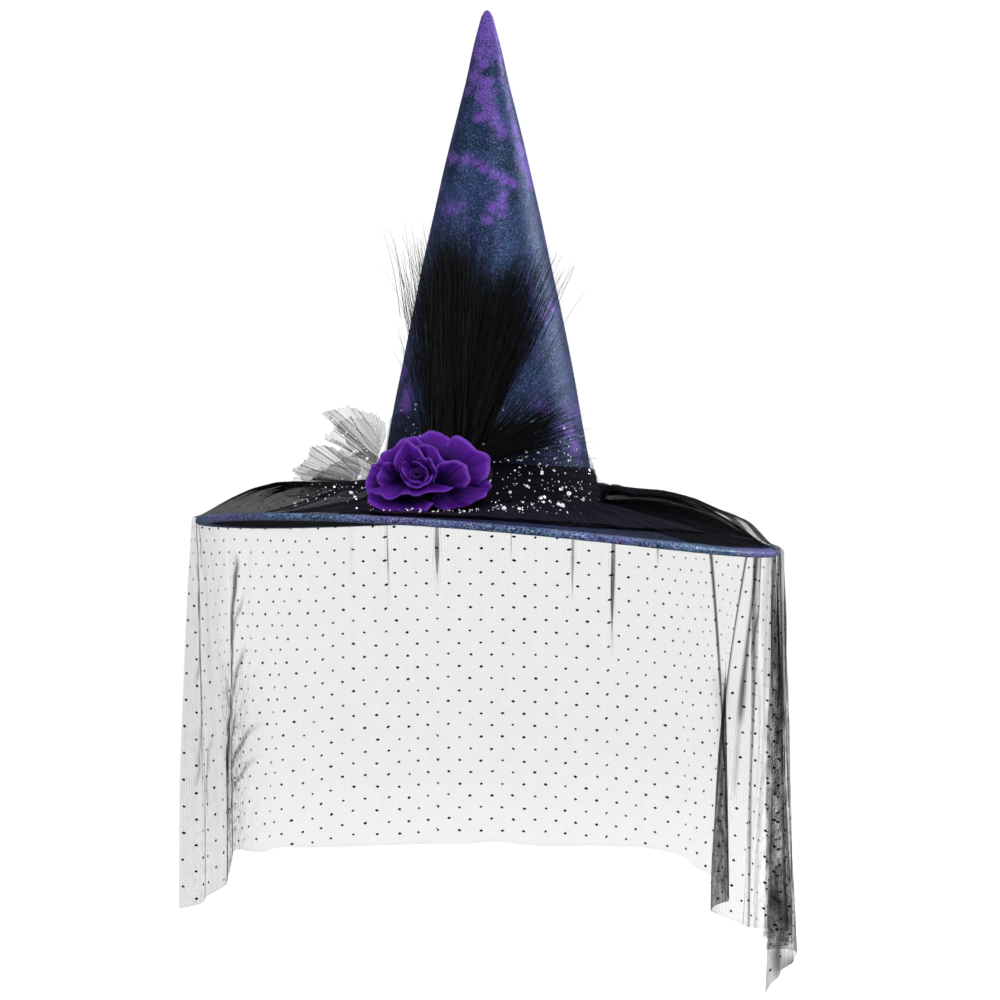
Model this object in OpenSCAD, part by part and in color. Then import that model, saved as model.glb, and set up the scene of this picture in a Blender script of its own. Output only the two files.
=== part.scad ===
// Pointed costume hat: a stiffened velvet crown and wired brim, trimmed with a dotted net veil,
// gathered glitter tulle, a fabric rose and a spray of feathers.
// Millimetres. The origin is the centre of the head opening, level with the brim's underside.
// +Z runs up the crown, -Y is the front and +X is the right as seen from the front.

/* [Crown] */
// Inside diameter of the sweatband
opening_d = 180; // [172:1:190]
// Height of the crown's tip above the brim's underside
crown_h = 449; // [430:1:480]
// How far the crown's side stands outside a straight cone at mid height
crown_bulge = 7.3; // [4:0.1:9]
// Height of the sweatband
sweatband_h = 24; // [18:1:28]

/* [Brim] */
// Diameter over the bound edge
brim_d = 510; // [490:1:530]
// How much of the brim's droop and curl is kept
brim_warp = 1; // [0:0.1:1.2]
// Diameter of the steel wire in the edge
wire_d = 2; // [1.6:0.1:2]

/* [Veil] */
// How far the veil's hem hangs below the brim's underside
veil_drop = 325; // [200:5:380]
// How high the veil puffs above the brim
veil_puff = 31; // [26:1:36]
// Angle at which the veil starts, at the right
veil_from = -12; // [-20:1:0]
// Angle at which the veil ends, at the left
veil_to = 184; // [178:1:190]

/* [Trim] */
// Height of the ruched band where it is narrowest, at the right
band_h = 30; // [24:1:34]
// Width of the rose across its open petals
rose_w = 102; // [90:1:106]
// Height of the rose as a share of its width
rose_squash = 0.68; // [0.6:0.01:0.72]
// Length of the longest plume
plume_l = 196; // [170:1:200]

/* [Hidden] */
$fn = 96;
gap = 0.1;             // air between layers that lie on each other

// Cloth and board thicknesses
cover_t = 1.2;         // velvet
board_t = 1.6;         // stiff interlining of the crown
lining_t = 0.6;
sweatband_t = 0.9;
brim_cover_t = 0.9;
brim_board_t = 2.2;
net_t = 0.8;
brim_t = lining_t + brim_board_t + brim_cover_t + 2 * gap;

// Crown: its outline is (1 - u) (base + 4 bulge u), where u is the height over the virtual apex
opening_r = opening_d / 2;
apex_z = crown_h + 7;
crown_z0 = brim_t + gap;
tip_h = 3;
crown_layers_t = cover_t + board_t + lining_t + 2 * gap;
brow_u = sweatband_h / apex_z;
crown_base_r = (opening_r + sweatband_t + crown_layers_t + 1.5 * gap) / (1 - brow_u)
    - 4 * crown_bulge * brow_u;
crown_steps = 12;
crown_slope = atan(crown_base_r / apex_z);
function crown_r(z) = (1 - z / apex_z) * (crown_base_r + 4 * crown_bulge * z / apex_z);

// Brim: flat at the opening, and lifted or dropped at the edge by an amount that changes round it
brim_r = brim_d / 2;
brim_in = opening_r + sweatband_t + gap;
brim_steps = 60;
function sag(a, at) = exp(-pow(((a - at + 540) % 360 - 180) / 34, 2));
function brim_edge_lift(a) = brim_warp * (-10.2 - 12.9 * cos(a) + 0.7 * sin(a)
    - 5.5 * cos(2 * a) + 4.4 * sin(2 * a) - 3.1 * sag(a, 135) - 1.2 * sag(a, 325));
function brim_share(r) = max(0, (r - brim_in) / (brim_r - brim_in));
function brim_z(r, a) = brim_edge_lift(a) * pow(brim_share(r), 1.6);
full_turn = [for (j = [0:brim_steps - 1]) 360 * j / brim_steps];

// Edge binding: a C round the wire and the brim's cut edge
binding_w = 14;
wire_in = 4.3;         // from the brim's edge to the wire's centre
cut_edge_in = 6.7;     // from the brim's edge to where its layers stop

// Net and tulle
tape_r = 99.2;
tape_t = 1;
gather_r = tape_r + tape_t + 0.6;
rim_r = brim_r + 3.5;
band_z0 = 18;
band_t = 3.4;
swag_in = crown_base_r + 6;

// Rose
rose_az = 243.5;       // place on the band
rose_z = 41;
rose_yaw = 262;        // way that the rose faces, round +Z from +X
rose_pitch = 5;        // and above the horizon
rose_lift = 3.2;       // of the backing, off the crown
petal_t = 0.7;
peg_r = 2.5;

// Plumes: azimuth and height of the middle, lean to the right, length, width, lift off the crown
plume_t = 3.5;
plume_mid = [251.4, 154];
quill_r = 0.9;
centre_plume = [251.4, 154, -5, plume_l, 62, 15.5];
left_plume = [234, 148, -17, plume_l * 0.9, 46, 6];
right_plume = [288, 144, 25, plume_l * 0.94, 54, 10.8];
low_plume = [300, 80, 60, plume_l * 0.46, 36, 6];

// ---- Shapes ----

// A closed section of [r, z] points, counter-clockwise, carried round Z through the angles.
// section(a) gives it at angle a; a ring closes on itself and an arc gets flat ends.
module sweep(angles, section, ring = false) {
    n = len(angles);
    k = len(section(angles[0]));
    points = [for (a = angles) for (p = section(a)) [p[0] * cos(a), p[0] * sin(a), p[1]]];
    sides = [for (j = [0:ring ? n - 1 : n - 2]) for (i = [0:k - 1])
        let (next = (j + 1) % n, up = (i + 1) % k)
        each [[j * k + i, j * k + up, next * k + up], [j * k + i, next * k + up, next * k + i]]];
    ends = ring ? [] : [[for (i = [k - 1:-1:0]) i], [for (i = [0:k - 1]) (n - 1) * k + i]];
    polyhedron(concat(sides, ends) == [] ? [] : points, concat(sides, ends));
}

// A thin curved sheet: face(u, v, side) gives its two faces for side 0 and 1, u and v from 0 to 1.
module sheet(nu, nv, face) {
    cols = nu + 1;
    count = cols * (nv + 1);
    points = [for (s = [0, 1]) for (j = [0:nv]) for (i = [0:nu]) face(i / nu, j / nv, s)];
    function at(i, j, s) = s * count + j * cols + i;
    cells = [for (j = [0:nv - 1]) for (i = [0:nu - 1]) each [
        [at(i, j, 0), at(i + 1, j, 0), at(i + 1, j + 1, 0)],
        [at(i, j, 0), at(i + 1, j + 1, 0), at(i, j + 1, 0)],
        [at(i, j, 1), at(i + 1, j + 1, 1), at(i + 1, j, 1)],
        [at(i, j, 1), at(i, j + 1, 1), at(i + 1, j + 1, 1)]]];
    ends = [for (i = [0:nu - 1]) each [
        [at(i, 0, 0), at(i, 0, 1), at(i + 1, 0, 1)],
        [at(i, 0, 0), at(i + 1, 0, 1), at(i + 1, 0, 0)],
        [at(i, nv, 0), at(i + 1, nv, 1), at(i, nv, 1)],
        [at(i, nv, 0), at(i + 1, nv, 0), at(i + 1, nv, 1)]]];
    sides = [for (j = [0:nv - 1]) each [
        [at(0, j, 0), at(0, j + 1, 1), at(0, j, 1)],
        [at(0, j, 0), at(0, j + 1, 0), at(0, j + 1, 1)],
        [at(nu, j, 0), at(nu, j, 1), at(nu, j + 1, 1)],
        [at(nu, j, 0), at(nu, j + 1, 1), at(nu, j + 1, 0)]]];
    polyhedron(points, concat(cells, ends, sides));
}

function lerp(a, b, t) = a + (b - a) * t;
function steps(from, to, n) = [for (i = [0:n]) lerp(from, to, i / n)];
function reversed(list) = [for (i = [len(list) - 1:-1:0]) list[i]];

// The crown's outline, moved in by inset: up the side, then in to the axis
function side_line(inset, top) =
    [for (z = steps(crown_z0, top, crown_steps)) [crown_r(z) - inset, z]];
function inner_top(inset) = apex_z * (1 - (tip_h + inset) / (crown_base_r + 4 * crown_bulge));
function inner_line(inset) =
    concat(side_line(inset, inner_top(inset)), [[0, inner_top(inset) + 2]]);
function outer_line() = let (z = crown_h - tip_h) concat(side_line(0, z),
    [for (a = [22.5:22.5:90]) [crown_r(z) * cos(a), z + tip_h * sin(a)]]);

module crown_layer(outside, inset) {
    rotate_extrude() polygon(concat(outside, reversed(inner_line(inset))));
}

module brim_layer(low, high) {
    radii = steps(brim_in, brim_r - cut_edge_in, 4);
    sweep(full_turn, function(a) concat(
        [for (r = radii) [r, brim_z(r, a) + low]],
        [for (r = reversed(radii)) [r, brim_z(r, a) + high]]), ring = true);
}

// Puts children on the crown's surface at azimuth a and height z: X outwards, Y round, Z up the side
module on_crown(a, z, lift) {
    rotate([0, 0, a]) translate([crown_r(z), 0, z]) rotate([0, -crown_slope, 0])
        translate([lift, 0, 0]) children();
}

// ---- Crown ----

module crown_cover() { color("#2b2f5e") crown_layer(outer_line(), cover_t); }

module crown_stiffener() {
    color("#3a3a3e") crown_layer(inner_line(cover_t + gap), cover_t + gap + board_t);
}

module crown_lining() {
    color("#16161a") crown_layer(inner_line(crown_layers_t - lining_t), crown_layers_t);
}

module sweatband() {
    color("#121214") difference() {
        cylinder(r = opening_r + sweatband_t, h = sweatband_h);
        translate([0, 0, -1]) cylinder(r = opening_r, h = sweatband_h + 2);
    }
}

// ---- Brim ----

module brim_lining() { color("#16161a") brim_layer(0, lining_t); }

module brim_stiffener() {
    color("#3a3a3e") brim_layer(lining_t + gap, lining_t + gap + brim_board_t);
}

module brim_cover() { color("#2b2f5e") brim_layer(brim_t - brim_cover_t, brim_t); }

module brim_wire() {
    r = brim_r - wire_in;
    color("#8a8d92") sweep(steps(90.3, 449.7, brim_steps), function(a)
        [for (s = [0:45:315]) [r + wire_d / 2 * cos(s),
            brim_z(r, a) + brim_t / 2 + wire_d / 2 * sin(s)]]);
}

// Crimped over the wire's two ends, at the back
module wire_sleeve() {
    r = brim_r - wire_in;
    color("#b0b3b8") translate([0, r, brim_z(r, 90) + brim_t / 2]) rotate([0, 90, 0])
        difference() {
            cylinder(r = 1.75, h = 18, center = true, $fn = 32);
            cylinder(r = wire_d / 2 + 0.3, h = 20, center = true, $fn = 32);
        }
}

module brim_binding() {
    lip = brim_t / 2 + gap;
    // distance in from the edge, and height from the brim's middle
    outside = [[binding_w, -lip - 0.9], [5, -lip - 1.3], [1.5, -2.6], [0, 0],
        [1.5, 2.6], [5, lip + 1.3], [binding_w, lip + 0.9]];
    pocket = [[binding_w, lip], [cut_edge_in, lip], [2.1, 1.6], [1.8, 0], [2.1, -1.6],
        [cut_edge_in, -lip], [binding_w, -lip]];
    color("#4a5fa0") sweep(full_turn, function(a)
        [for (p = concat(outside, pocket)) let (r = brim_r - p[0])
            [r, brim_z(r, a) + brim_t / 2 + p[1]]], ring = true);
}

// ---- Veil and tulle ----

// Tape round the back of the crown that the veil's gathered edge is sewn to
module veil_tape() {
    color("#101012") sweep(steps(veil_from, veil_to, 28), function(a)
        [[tape_r, crown_z0 + 0.5], [tape_r + tape_t, crown_z0 + 0.5],
            [tape_r + tape_t, band_z0 - 2], [tape_r, band_z0 - 2]]);
}

function puff(a) = veil_puff + 5 * cos(a);
function hem_z(a) = -veil_drop - 16 * pow(abs(cos(a)), 3) - (cos(a) > 0 ? 56 * pow(cos(a), 6) : 0);

// The veil's path at angle a as [r, z, direction of its outer side]: out over the brim, then down
function veil_line(a) = let (edge_z = brim_z(brim_r, a) + brim_t) concat(
    [for (t = steps(0, 1, 5)) let (r = lerp(gather_r, rim_r, t))
        [r, brim_z(r, a) + brim_t + 6 - 2 * t + puff(a) * pow(sin(180 * t), 0.8), 90]],
    [[rim_r + 2.5, edge_z + 1, 40]],
    [for (t = steps(0, 1, 6)) [rim_r + 3 + 5 * t, lerp(edge_z - 6, hem_z(a), t), 0]]);

module veil() {
    color("#26262c") sheet(36, 13, function(u, v, s) let (a = lerp(veil_to, veil_from, u),
        p = veil_line(a)[round(13 * v)], r = p[0] + s * net_t * cos(p[2]))
        [r * cos(a), r * sin(a), p[1] + s * net_t * sin(p[2])]);
}

// A heap of tulle on the brim between two radii; rise(t, a) is its height over the brim
module heap(from, to, n, inside, outside, rise) {
    radii = steps(0, 1, 6);
    sweep(steps(from, to, n), function(a) concat(
        [for (t = radii) let (r = lerp(inside, outside, t)) [r, brim_z(r, a) + brim_t + 0.4]],
        [for (t = reversed(radii)) let (r = lerp(inside, outside, t))
            [r, brim_z(r, a) + brim_t + 1.2 + rise(t, a)]]));
}

module back_tulle() {
    from = -8;
    to = 128;
    color("#0c0c10") heap(from, to, 24, swag_in, brim_r - 18, function(t, a)
        (puff(a) - 7) * pow(sin(180 * t), 0.9) * pow(sin(180 * (a - from + 6) / (to - from + 12)), 0.4));
}

module front_tulle() {
    from = 190;
    to = 334;
    color("#17151c") heap(from, to, 28, swag_in, brim_r - 52, function(t, a)
        let (by_rose = 1 - exp(-pow((a - 246) / 24, 2)), left = a < 246 ? 20 : 8)
        2 + left * by_rose * pow(sin(90 + 80 * t), 1.2));
}

// Stiff tulle folded into a zigzag fan, left of the crown
module tulle_fan() {
    folds = 10;
    root = [-85, -49, 38];
    function fold_tip(i, v) = let (a = lerp(104, 176, i / folds), side = i % 2 == 0 ? 1 : -1,
        reach = 8 + 76 * v) root + [reach * cos(a), side * (1 + 11 * v), reach * sin(a)];
    color("#2a2830") sheet(folds, 3, function(u, v, s)
        fold_tip(round(u * folds), v) + [0, s * net_t * 1.5, 0]);
}

// Ruched tulle round the crown; its top edge climbs towards the left
module hat_band() {
    function top(a) = band_z0 + band_h + 22 + 22 * cos(a - 200);
    color("#141218") sweep([for (j = [0:47]) 7.5 * j], function(a) let (zs = steps(band_z0, top(a), 4))
        concat([for (z = zs) [crown_r(z) + band_t - 1.6 * (z - band_z0) / (top(a) - band_z0), z]],
            [for (z = reversed(zs)) [crown_r(z) + 0.2, z]]), ring = true);
}

// Thread tacks that hold the tulle to the band
module thread_tacks() {
    z = band_z0 + 4;
    color("#050506") for (a = [20:36:344]) rotate([0, 0, a])
        translate([crown_r(z) + band_t + 0.55, 0, z]) rotate([90, 0, 0])
            cylinder(r = 0.4, h = 6, center = true, $fn = 16);
}

// ---- Rose ----

// Rose frame: +Z is the way it faces, X runs down and Y to the right
module in_rose() {
    r = crown_r(rose_z) + rose_lift + 2.4;
    translate([r * cos(rose_az), r * sin(rose_az), rose_z]) rotate([0, 0, rose_yaw]) rotate([0, 90 - rose_pitch, 0]) children();
}

// A petal round the peg: it widens and closes again outwards, and rises from one side to the other
// so that each petal of a ring lies over the next
module petal(a, spacing, reach, lean, foot_z) {
    depth = petal_t / cos(lean);
    rise = depth + 0.9;
    sheet(6, 5, function(u, v, s) let (
        r = lerp(4.2, reach, 1 - pow(1 - v, 1.15)) * (1 - 0.10 * v * pow(2 * u - 1, 2)),
        turn = (1 - 2 * u) * spacing * (0.34 + 0.42 * sin(30 + 118 * v)),
        up = foot_z + r * tan(lean) + rise * turn / spacing + 3 * pow(v, 3) + s * depth)
        [r * rose_squash * cos(a + turn), r * sin(a + turn), up]);
}

module petal_ring(count, turn, reach, lean, foot_z) {
    for (i = [0:count - 1]) petal(turn + 360 * i / count, 360 / count, reach, lean, foot_z);
}

module rose_backing() {
    color("#1c1020") on_crown(rose_az, rose_z, rose_lift) rotate([0, 90, 0]) cylinder(r = 15, h = 1.8);
}

module rose_peg() {
    color("#2d5a2a") in_rose() translate([0, 0, 1]) cylinder(r = peg_r, h = 17, $fn = 32);
}

module rose_outer_petals() { color("#5a1fa8") in_rose() petal_ring(6, 0, rose_w * 0.5, 14, 5); }
module rose_middle_petals() { color("#5119a8") in_rose() petal_ring(5, 20, rose_w * 0.3, 36, 9); }
module rose_inner_petals() { color("#4410a0") in_rose() petal_ring(4, 50, rose_w * 0.14, 57, 13.5); }

module rose_bud() {
    color("#350a88") in_rose() translate([0, 0, 18.3]) rotate_extrude($fn = 48)
        polygon([[0, 0], [2, 0], [2.2, 3], [4, 8], [4.4, 12], [3.6, 15], [1.8, 17], [0, 15]]);
}

// ---- Feathers ----

// A flat leaf from its foot to its tip, in its own YZ plane, widest past the middle
function leaf(length, width) = let (half = [for (t = steps(0, 1, 9))
    [width / 2 * (0.16 + 0.84 * pow(sin(180 * pow(t, 0.9)), 0.8)), length * (t - 0.5)]])
    concat(half, [for (p = reversed(half)) [-p[0], p[1]]]);

module plume(p) {
    on_crown(p[0], p[1], p[5]) rotate([-p[2], 0, 0]) rotate([90, 0, 90])
        linear_extrude(plume_t) polygon(leaf(p[3], p[4]));
}

module quill(p) {
    on_crown(p[0], p[1], p[5] - quill_r - 0.2) rotate([-p[2], 0, 0])
        translate([0, 0, -p[3] / 2]) cylinder(r1 = quill_r, r2 = quill_r / 2, h = p[3] * 0.7, $fn = 16);
}

module plume_centre() { color("#0b0b0d") plume(centre_plume); }
module plume_left() { color("#0b0b0d") plume(left_plume); }
module plume_right() { color("#0b0b0d") plume(right_plume); }
module plume_low() { color("#0b0b0d") plume(low_plume); }

module feather_quills() {
    color("#1d1a18") for (p = [centre_plume, left_plume, right_plume, low_plume]) quill(p);
}

// Felt pad under the feet of the quills
module feather_pad() {
    color("#101010") on_crown(266, 40, band_t + 0.6) rotate([0, 90, 0]) cylinder(r = 12, h = 1.2);
}

crown_cover();
crown_stiffener();
crown_lining();
sweatband();
brim_cover();
brim_stiffener();
brim_lining();
brim_wire();
wire_sleeve();
brim_binding();
veil_tape();
veil();
back_tulle();
front_tulle();
tulle_fan();
hat_band();
thread_tacks();
rose_backing();
rose_peg();
rose_outer_petals();
rose_middle_petals();
rose_inner_petals();
rose_bud();
feather_pad();
feather_quills();
plume_centre();
plume_left();
plume_right();
plume_low();
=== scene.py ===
"""Looks of a pointed costume hat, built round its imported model.

Metres. The origin is the centre of the head opening, level with the underside of the brim.
+Z runs up the crown, -Y is the front and +X the right as seen from the front. Angles round the
hat are in degrees, counter-clockwise from +X, so 270 is the front and 90 the back.
"""

import bpy
import numpy as np
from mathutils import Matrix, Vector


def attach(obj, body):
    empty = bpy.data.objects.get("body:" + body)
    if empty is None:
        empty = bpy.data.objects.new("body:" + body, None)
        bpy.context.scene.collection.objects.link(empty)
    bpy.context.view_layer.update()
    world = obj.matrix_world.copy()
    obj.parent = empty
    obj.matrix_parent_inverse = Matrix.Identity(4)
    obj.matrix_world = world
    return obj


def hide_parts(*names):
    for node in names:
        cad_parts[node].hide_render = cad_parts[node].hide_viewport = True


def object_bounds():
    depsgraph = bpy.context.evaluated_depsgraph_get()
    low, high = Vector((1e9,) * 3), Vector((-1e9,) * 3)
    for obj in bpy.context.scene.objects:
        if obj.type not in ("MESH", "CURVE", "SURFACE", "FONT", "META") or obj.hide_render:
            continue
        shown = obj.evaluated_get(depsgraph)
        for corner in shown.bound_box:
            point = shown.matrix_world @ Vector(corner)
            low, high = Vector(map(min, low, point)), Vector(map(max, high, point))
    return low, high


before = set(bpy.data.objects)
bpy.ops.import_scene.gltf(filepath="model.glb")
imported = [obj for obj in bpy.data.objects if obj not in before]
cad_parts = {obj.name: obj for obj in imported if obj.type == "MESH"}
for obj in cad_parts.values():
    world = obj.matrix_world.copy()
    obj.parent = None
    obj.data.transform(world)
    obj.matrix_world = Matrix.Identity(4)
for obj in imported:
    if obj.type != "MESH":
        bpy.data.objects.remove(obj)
cad_low, cad_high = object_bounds()

MM = 0.001
BACK = 90.0
TAU = 2 * np.pi


# ---- Camera, light and stage ----

def make_camera():
    data = bpy.data.cameras.new("camera")
    data.lens = 90
    data.sensor_width = 36
    data.clip_start = 0.1
    data.clip_end = 50
    camera = bpy.data.objects.new("camera", data)
    camera.location = (0.0114, -2.2, 0.018)
    camera.rotation_euler = (np.radians(90), 0, 0)
    bpy.context.collection.objects.link(camera)
    bpy.context.scene.camera = camera


def make_area_light(name, place, aim, size, watts, colour=(1, 1, 1)):
    data = bpy.data.lights.new(name, "AREA")
    data.shape = "RECTANGLE"
    data.size, data.size_y = size
    data.energy = watts
    data.color = colour
    light = bpy.data.objects.new(name, data)
    light.location = place
    towards = Vector(aim) - Vector(place)
    light.rotation_euler = towards.to_track_quat("-Z", "Y").to_euler()
    bpy.context.collection.objects.link(light)


def make_light():
    world = bpy.data.worlds.new("studio")
    world.use_nodes = True
    world.node_tree.nodes["Background"].inputs["Color"].default_value = (1, 1, 1, 1)
    world.node_tree.nodes["Background"].inputs["Strength"].default_value = 0.30
    bpy.context.scene.world = world
    # name, place, aim, size in metres, power in watts, colour
    make_area_light("key", (1.3, -2.0, 1.6), (0, 0, 0.1), (1.2, 1.2), 30)
    make_area_light("edge", (1.6, 0.70, 0.90), (0, 0, 0.3), (0.6, 0.9), 17, (0.88, 0.92, 1))
    make_area_light("fill", (-1.8, -1.2, 0.9), (0, 0, 0), (1.4, 1.4), 11)
    scene = bpy.context.scene
    scene.view_settings.view_transform = "Standard"
    scene.cycles.transparent_max_bounces = 64
    scene.cycles.max_bounces = 8


def make_stage():
    """A pale floor that curves up into a round wall."""
    floor_z = cad_low.z - 0.10
    profile = [(0, 0), (3.2, 0), (4.0, 0.08), (4.6, 0.35), (5.0, 0.9), (5.1, 2.0), (5.1, 6.0)]
    angles = np.linspace(0, TAU, 65)[:-1]
    points = [(r * np.cos(a), r * np.sin(a), floor_z + h) for r, h in profile for a in angles]
    n = len(angles)
    faces = [(i * n + j, i * n + (j + 1) % n, (i + 1) * n + (j + 1) % n, (i + 1) * n + j)
             for i in range(len(profile) - 1) for j in range(n)]
    mesh = bpy.data.meshes.new("stage")
    mesh.from_pydata(points, [], faces)
    mesh.shade_smooth()
    stage = bpy.data.objects.new("stage", mesh)
    bpy.context.collection.objects.link(stage)
    material = bpy.data.materials.new("pale_paper")
    material.use_nodes = True
    tree = material.node_tree
    shader = tree.nodes["Principled BSDF"]
    shader.inputs["Base Color"].default_value = (0.42, 0.42, 0.42, 1)
    shader.inputs["Roughness"].default_value = 0.9
    shader.inputs["Specular IOR Level"].default_value = 0.1
    shader.inputs["Emission Color"].default_value = (1, 1, 1, 1)
    seen = tree.nodes.new("ShaderNodeLightPath").outputs["Is Camera Ray"]
    glow = calc(tree, "MULTIPLY_ADD", seen, 0.90, 0.02)
    tree.links.new(glow, shader.inputs["Emission Strength"])
    mesh.materials.append(material)


# ---- Shapes read from the frame ----

def node_points(name):
    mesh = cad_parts[name].data
    points = np.empty(len(mesh.vertices) * 3)
    mesh.vertices.foreach_get("co", points)
    return points.reshape(-1, 3)


def crown_outline():
    """The crown's outer outline as heights and radii. It bulges all the way, so it is its own hull."""
    points = node_points("crown_cover")
    outline = []
    for z, r in sorted(zip(points[:, 2], np.hypot(points[:, 0], points[:, 1]))):
        while len(outline) > 1:
            (z0, r0), (z1, r1) = outline[-2:]
            if (z1 - z0) * (r - r0) < (r1 - r0) * (z - z0):
                break
            outline.pop()
        outline.append((z, r))
    outline = np.array(outline)
    return outline[np.argmax(outline[:, 1]):]


CROWN = crown_outline()
binding_points = node_points("brim_binding")
binding_radii = np.hypot(binding_points[:, 0], binding_points[:, 1])
BRIM_R = binding_radii.max()
edge_points = binding_points[binding_radii > BRIM_R - 0.05 * MM]
edge_angles = np.degrees(np.arctan2(edge_points[:, 1], edge_points[:, 0])) % 360
cover_points = node_points("brim_cover")
cover_radii = np.hypot(cover_points[:, 0], cover_points[:, 1])
BRIM_IN = cover_radii.min()
BRIM_T = cover_points[cover_radii < BRIM_IN + 0.1 * MM, 2].max()


def crown_radius(z):
    return np.interp(z, CROWN[:, 0], CROWN[:, 1])


def edge_height(a):
    """Height of the middle of the brim's edge at angle a."""
    return np.interp(a, edge_angles, edge_points[:, 2], period=360)


def brim_top(r, a):
    """Height of the brim's upper side."""
    share = np.clip((r - BRIM_IN) / (BRIM_R - BRIM_IN), 0, None)
    return BRIM_T + (edge_height(a) - BRIM_T / 2) * share ** 1.6


def polar(r, a, z):
    """Points from radius, angle in degrees and height."""
    a = np.radians(a)
    return np.stack(np.broadcast_arrays(r * np.cos(a), r * np.sin(a), z), -1)


def smooth(x, low=0.0, high=1.0):
    t = np.clip((x - low) / (high - low), 0, 1)
    return t * t * (3 - 2 * t)


def bell(x, centre, width):
    return np.exp(-((x - centre) / width) ** 2)


def wrap_angle(a):
    """An angle's difference from 0, from -180 to 180."""
    return (a + 180) % 360 - 180


def waves(x, seed, count, low, high):
    """A smooth irregular line with values of about -1 to 1: a sum of sines of chance phase."""
    chance = np.random.default_rng(seed)
    total = 0
    for _ in range(count):
        total = total + np.sin(x * chance.uniform(low, high) + chance.uniform(0, TAU))
    return total / np.sqrt(count)


# ---- Meshes ----

def piece(name, points, faces, material, replaces=(), uv=None, fields=None):
    """Makes a smooth mesh that rides on the hat. uv holds a flat position for each point, in metres."""
    mesh = bpy.data.meshes.new(name)
    mesh.from_pydata(np.asarray(points).reshape(-1, 3).tolist(), [], np.asarray(faces).tolist())
    mesh.shade_smooth()
    if uv is not None:
        corners = np.empty(len(mesh.loops), int)
        mesh.loops.foreach_get("vertex_index", corners)
        layer = mesh.uv_layers.new(name="flat")
        layer.data.foreach_set("uv", np.asarray(uv).reshape(-1, 2)[corners].ravel())
    for label, values in (fields or {}).items():
        field = mesh.attributes.new(label, "FLOAT", "POINT")
        field.data.foreach_set("value", np.asarray(values, float).ravel())
    mesh.materials.append(material)
    made = bpy.data.objects.new(name, mesh)
    bpy.context.collection.objects.link(made)
    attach(made, "root")
    if replaces:
        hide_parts(*replaces)
    return made


def grid_faces(rows, columns, ring=False, start=0):
    """Quads of a grid of points that runs along columns first. A ring's last column joins its first."""
    index = start + np.arange(rows * columns).reshape(rows, columns)
    if ring:
        index = np.concatenate([index, index[:, :1]], 1)
    corners = [index[:-1, :-1], index[:-1, 1:], index[1:, 1:], index[1:, :-1]]
    return np.stack(corners, -1).reshape(-1, 4)


def thicken(made, thickness, offset=-1.0):
    solid = made.modifiers.new("thickness", "SOLIDIFY")
    solid.thickness = thickness
    solid.offset = offset
    return made


def normals_of(points):
    """Unit normals of a grid of points, from its own differences."""
    across = np.gradient(points, axis=1)
    down = np.gradient(points, axis=0)
    normal = np.cross(across, down)
    return normal / np.maximum(np.linalg.norm(normal, axis=-1, keepdims=True), 1e-12)


def discs(centres, normals, radii, sides=6, seed=1):
    """Small flat facets at the centres, each turned by chance: points and faces."""
    chance = np.random.default_rng(seed)
    helper = np.where(np.abs(normals[:, 2:]) < 0.9, [[0, 0, 1.0]], [[1.0, 0, 0]])
    x = np.cross(normals, helper)
    x /= np.linalg.norm(x, axis=1, keepdims=True)
    y = np.cross(normals, x)
    turn = chance.uniform(0, TAU, len(centres))
    angles = turn[:, None] + np.arange(sides) * TAU / sides
    points = (centres[:, None] + radii[:, None, None] * (
        np.cos(angles)[..., None] * x[:, None] + np.sin(angles)[..., None] * y[:, None]))
    faces = np.arange(len(centres) * sides).reshape(-1, sides)
    return points.reshape(-1, 3), faces


# ---- Node helpers ----

def add(tree, kind, inputs=None, **settings):
    """Adds a node. Inputs are given by socket name or number, as a value or another node's output."""
    made = tree.nodes.new(kind)
    for name, value in settings.items():
        setattr(made, name, value)
    for key, value in (inputs or {}).items():
        if isinstance(value, bpy.types.NodeSocket):
            tree.links.new(value, made.inputs[key])
        else:
            made.inputs[key].default_value = value
    return made


def calc(tree, operation, a, b=0.0, c=0.0, clamp=False):
    return add(tree, "ShaderNodeMath", {0: a, 1: b, 2: c}, operation=operation, use_clamp=clamp).outputs[0]


def blend_colours(tree, share, a, b):
    return add(tree, "ShaderNodeMix", {0: share, 6: a, 7: b}, data_type="RGBA").outputs[2]


def step(tree, value, low, high, to_low=0.0, to_high=1.0):
    inputs = {"Value": value, "From Min": low, "From Max": high, "To Min": to_low, "To Max": to_high}
    return add(tree, "ShaderNodeMapRange", inputs, interpolation_type="SMOOTHSTEP").outputs["Result"]


def noise(tree, vector, scale, detail=2.0, roughness=0.5):
    inputs = {"Vector": vector, "Scale": scale, "Detail": detail, "Roughness": roughness}
    return add(tree, "ShaderNodeTexNoise", inputs).outputs["Fac"]


def object_place(tree):
    return add(tree, "ShaderNodeTexCoord").outputs["Object"]


def flat_place(tree):
    return add(tree, "ShaderNodeUVMap", uv_map="flat").outputs["UV"]


def field(tree, name):
    return add(tree, "ShaderNodeAttribute", attribute_name=name).outputs["Fac"]


def bump(tree, height, distance, strength=1.0):
    inputs = {"Height": height, "Distance": distance, "Strength": strength}
    return add(tree, "ShaderNodeBump", inputs).outputs["Normal"]


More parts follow.
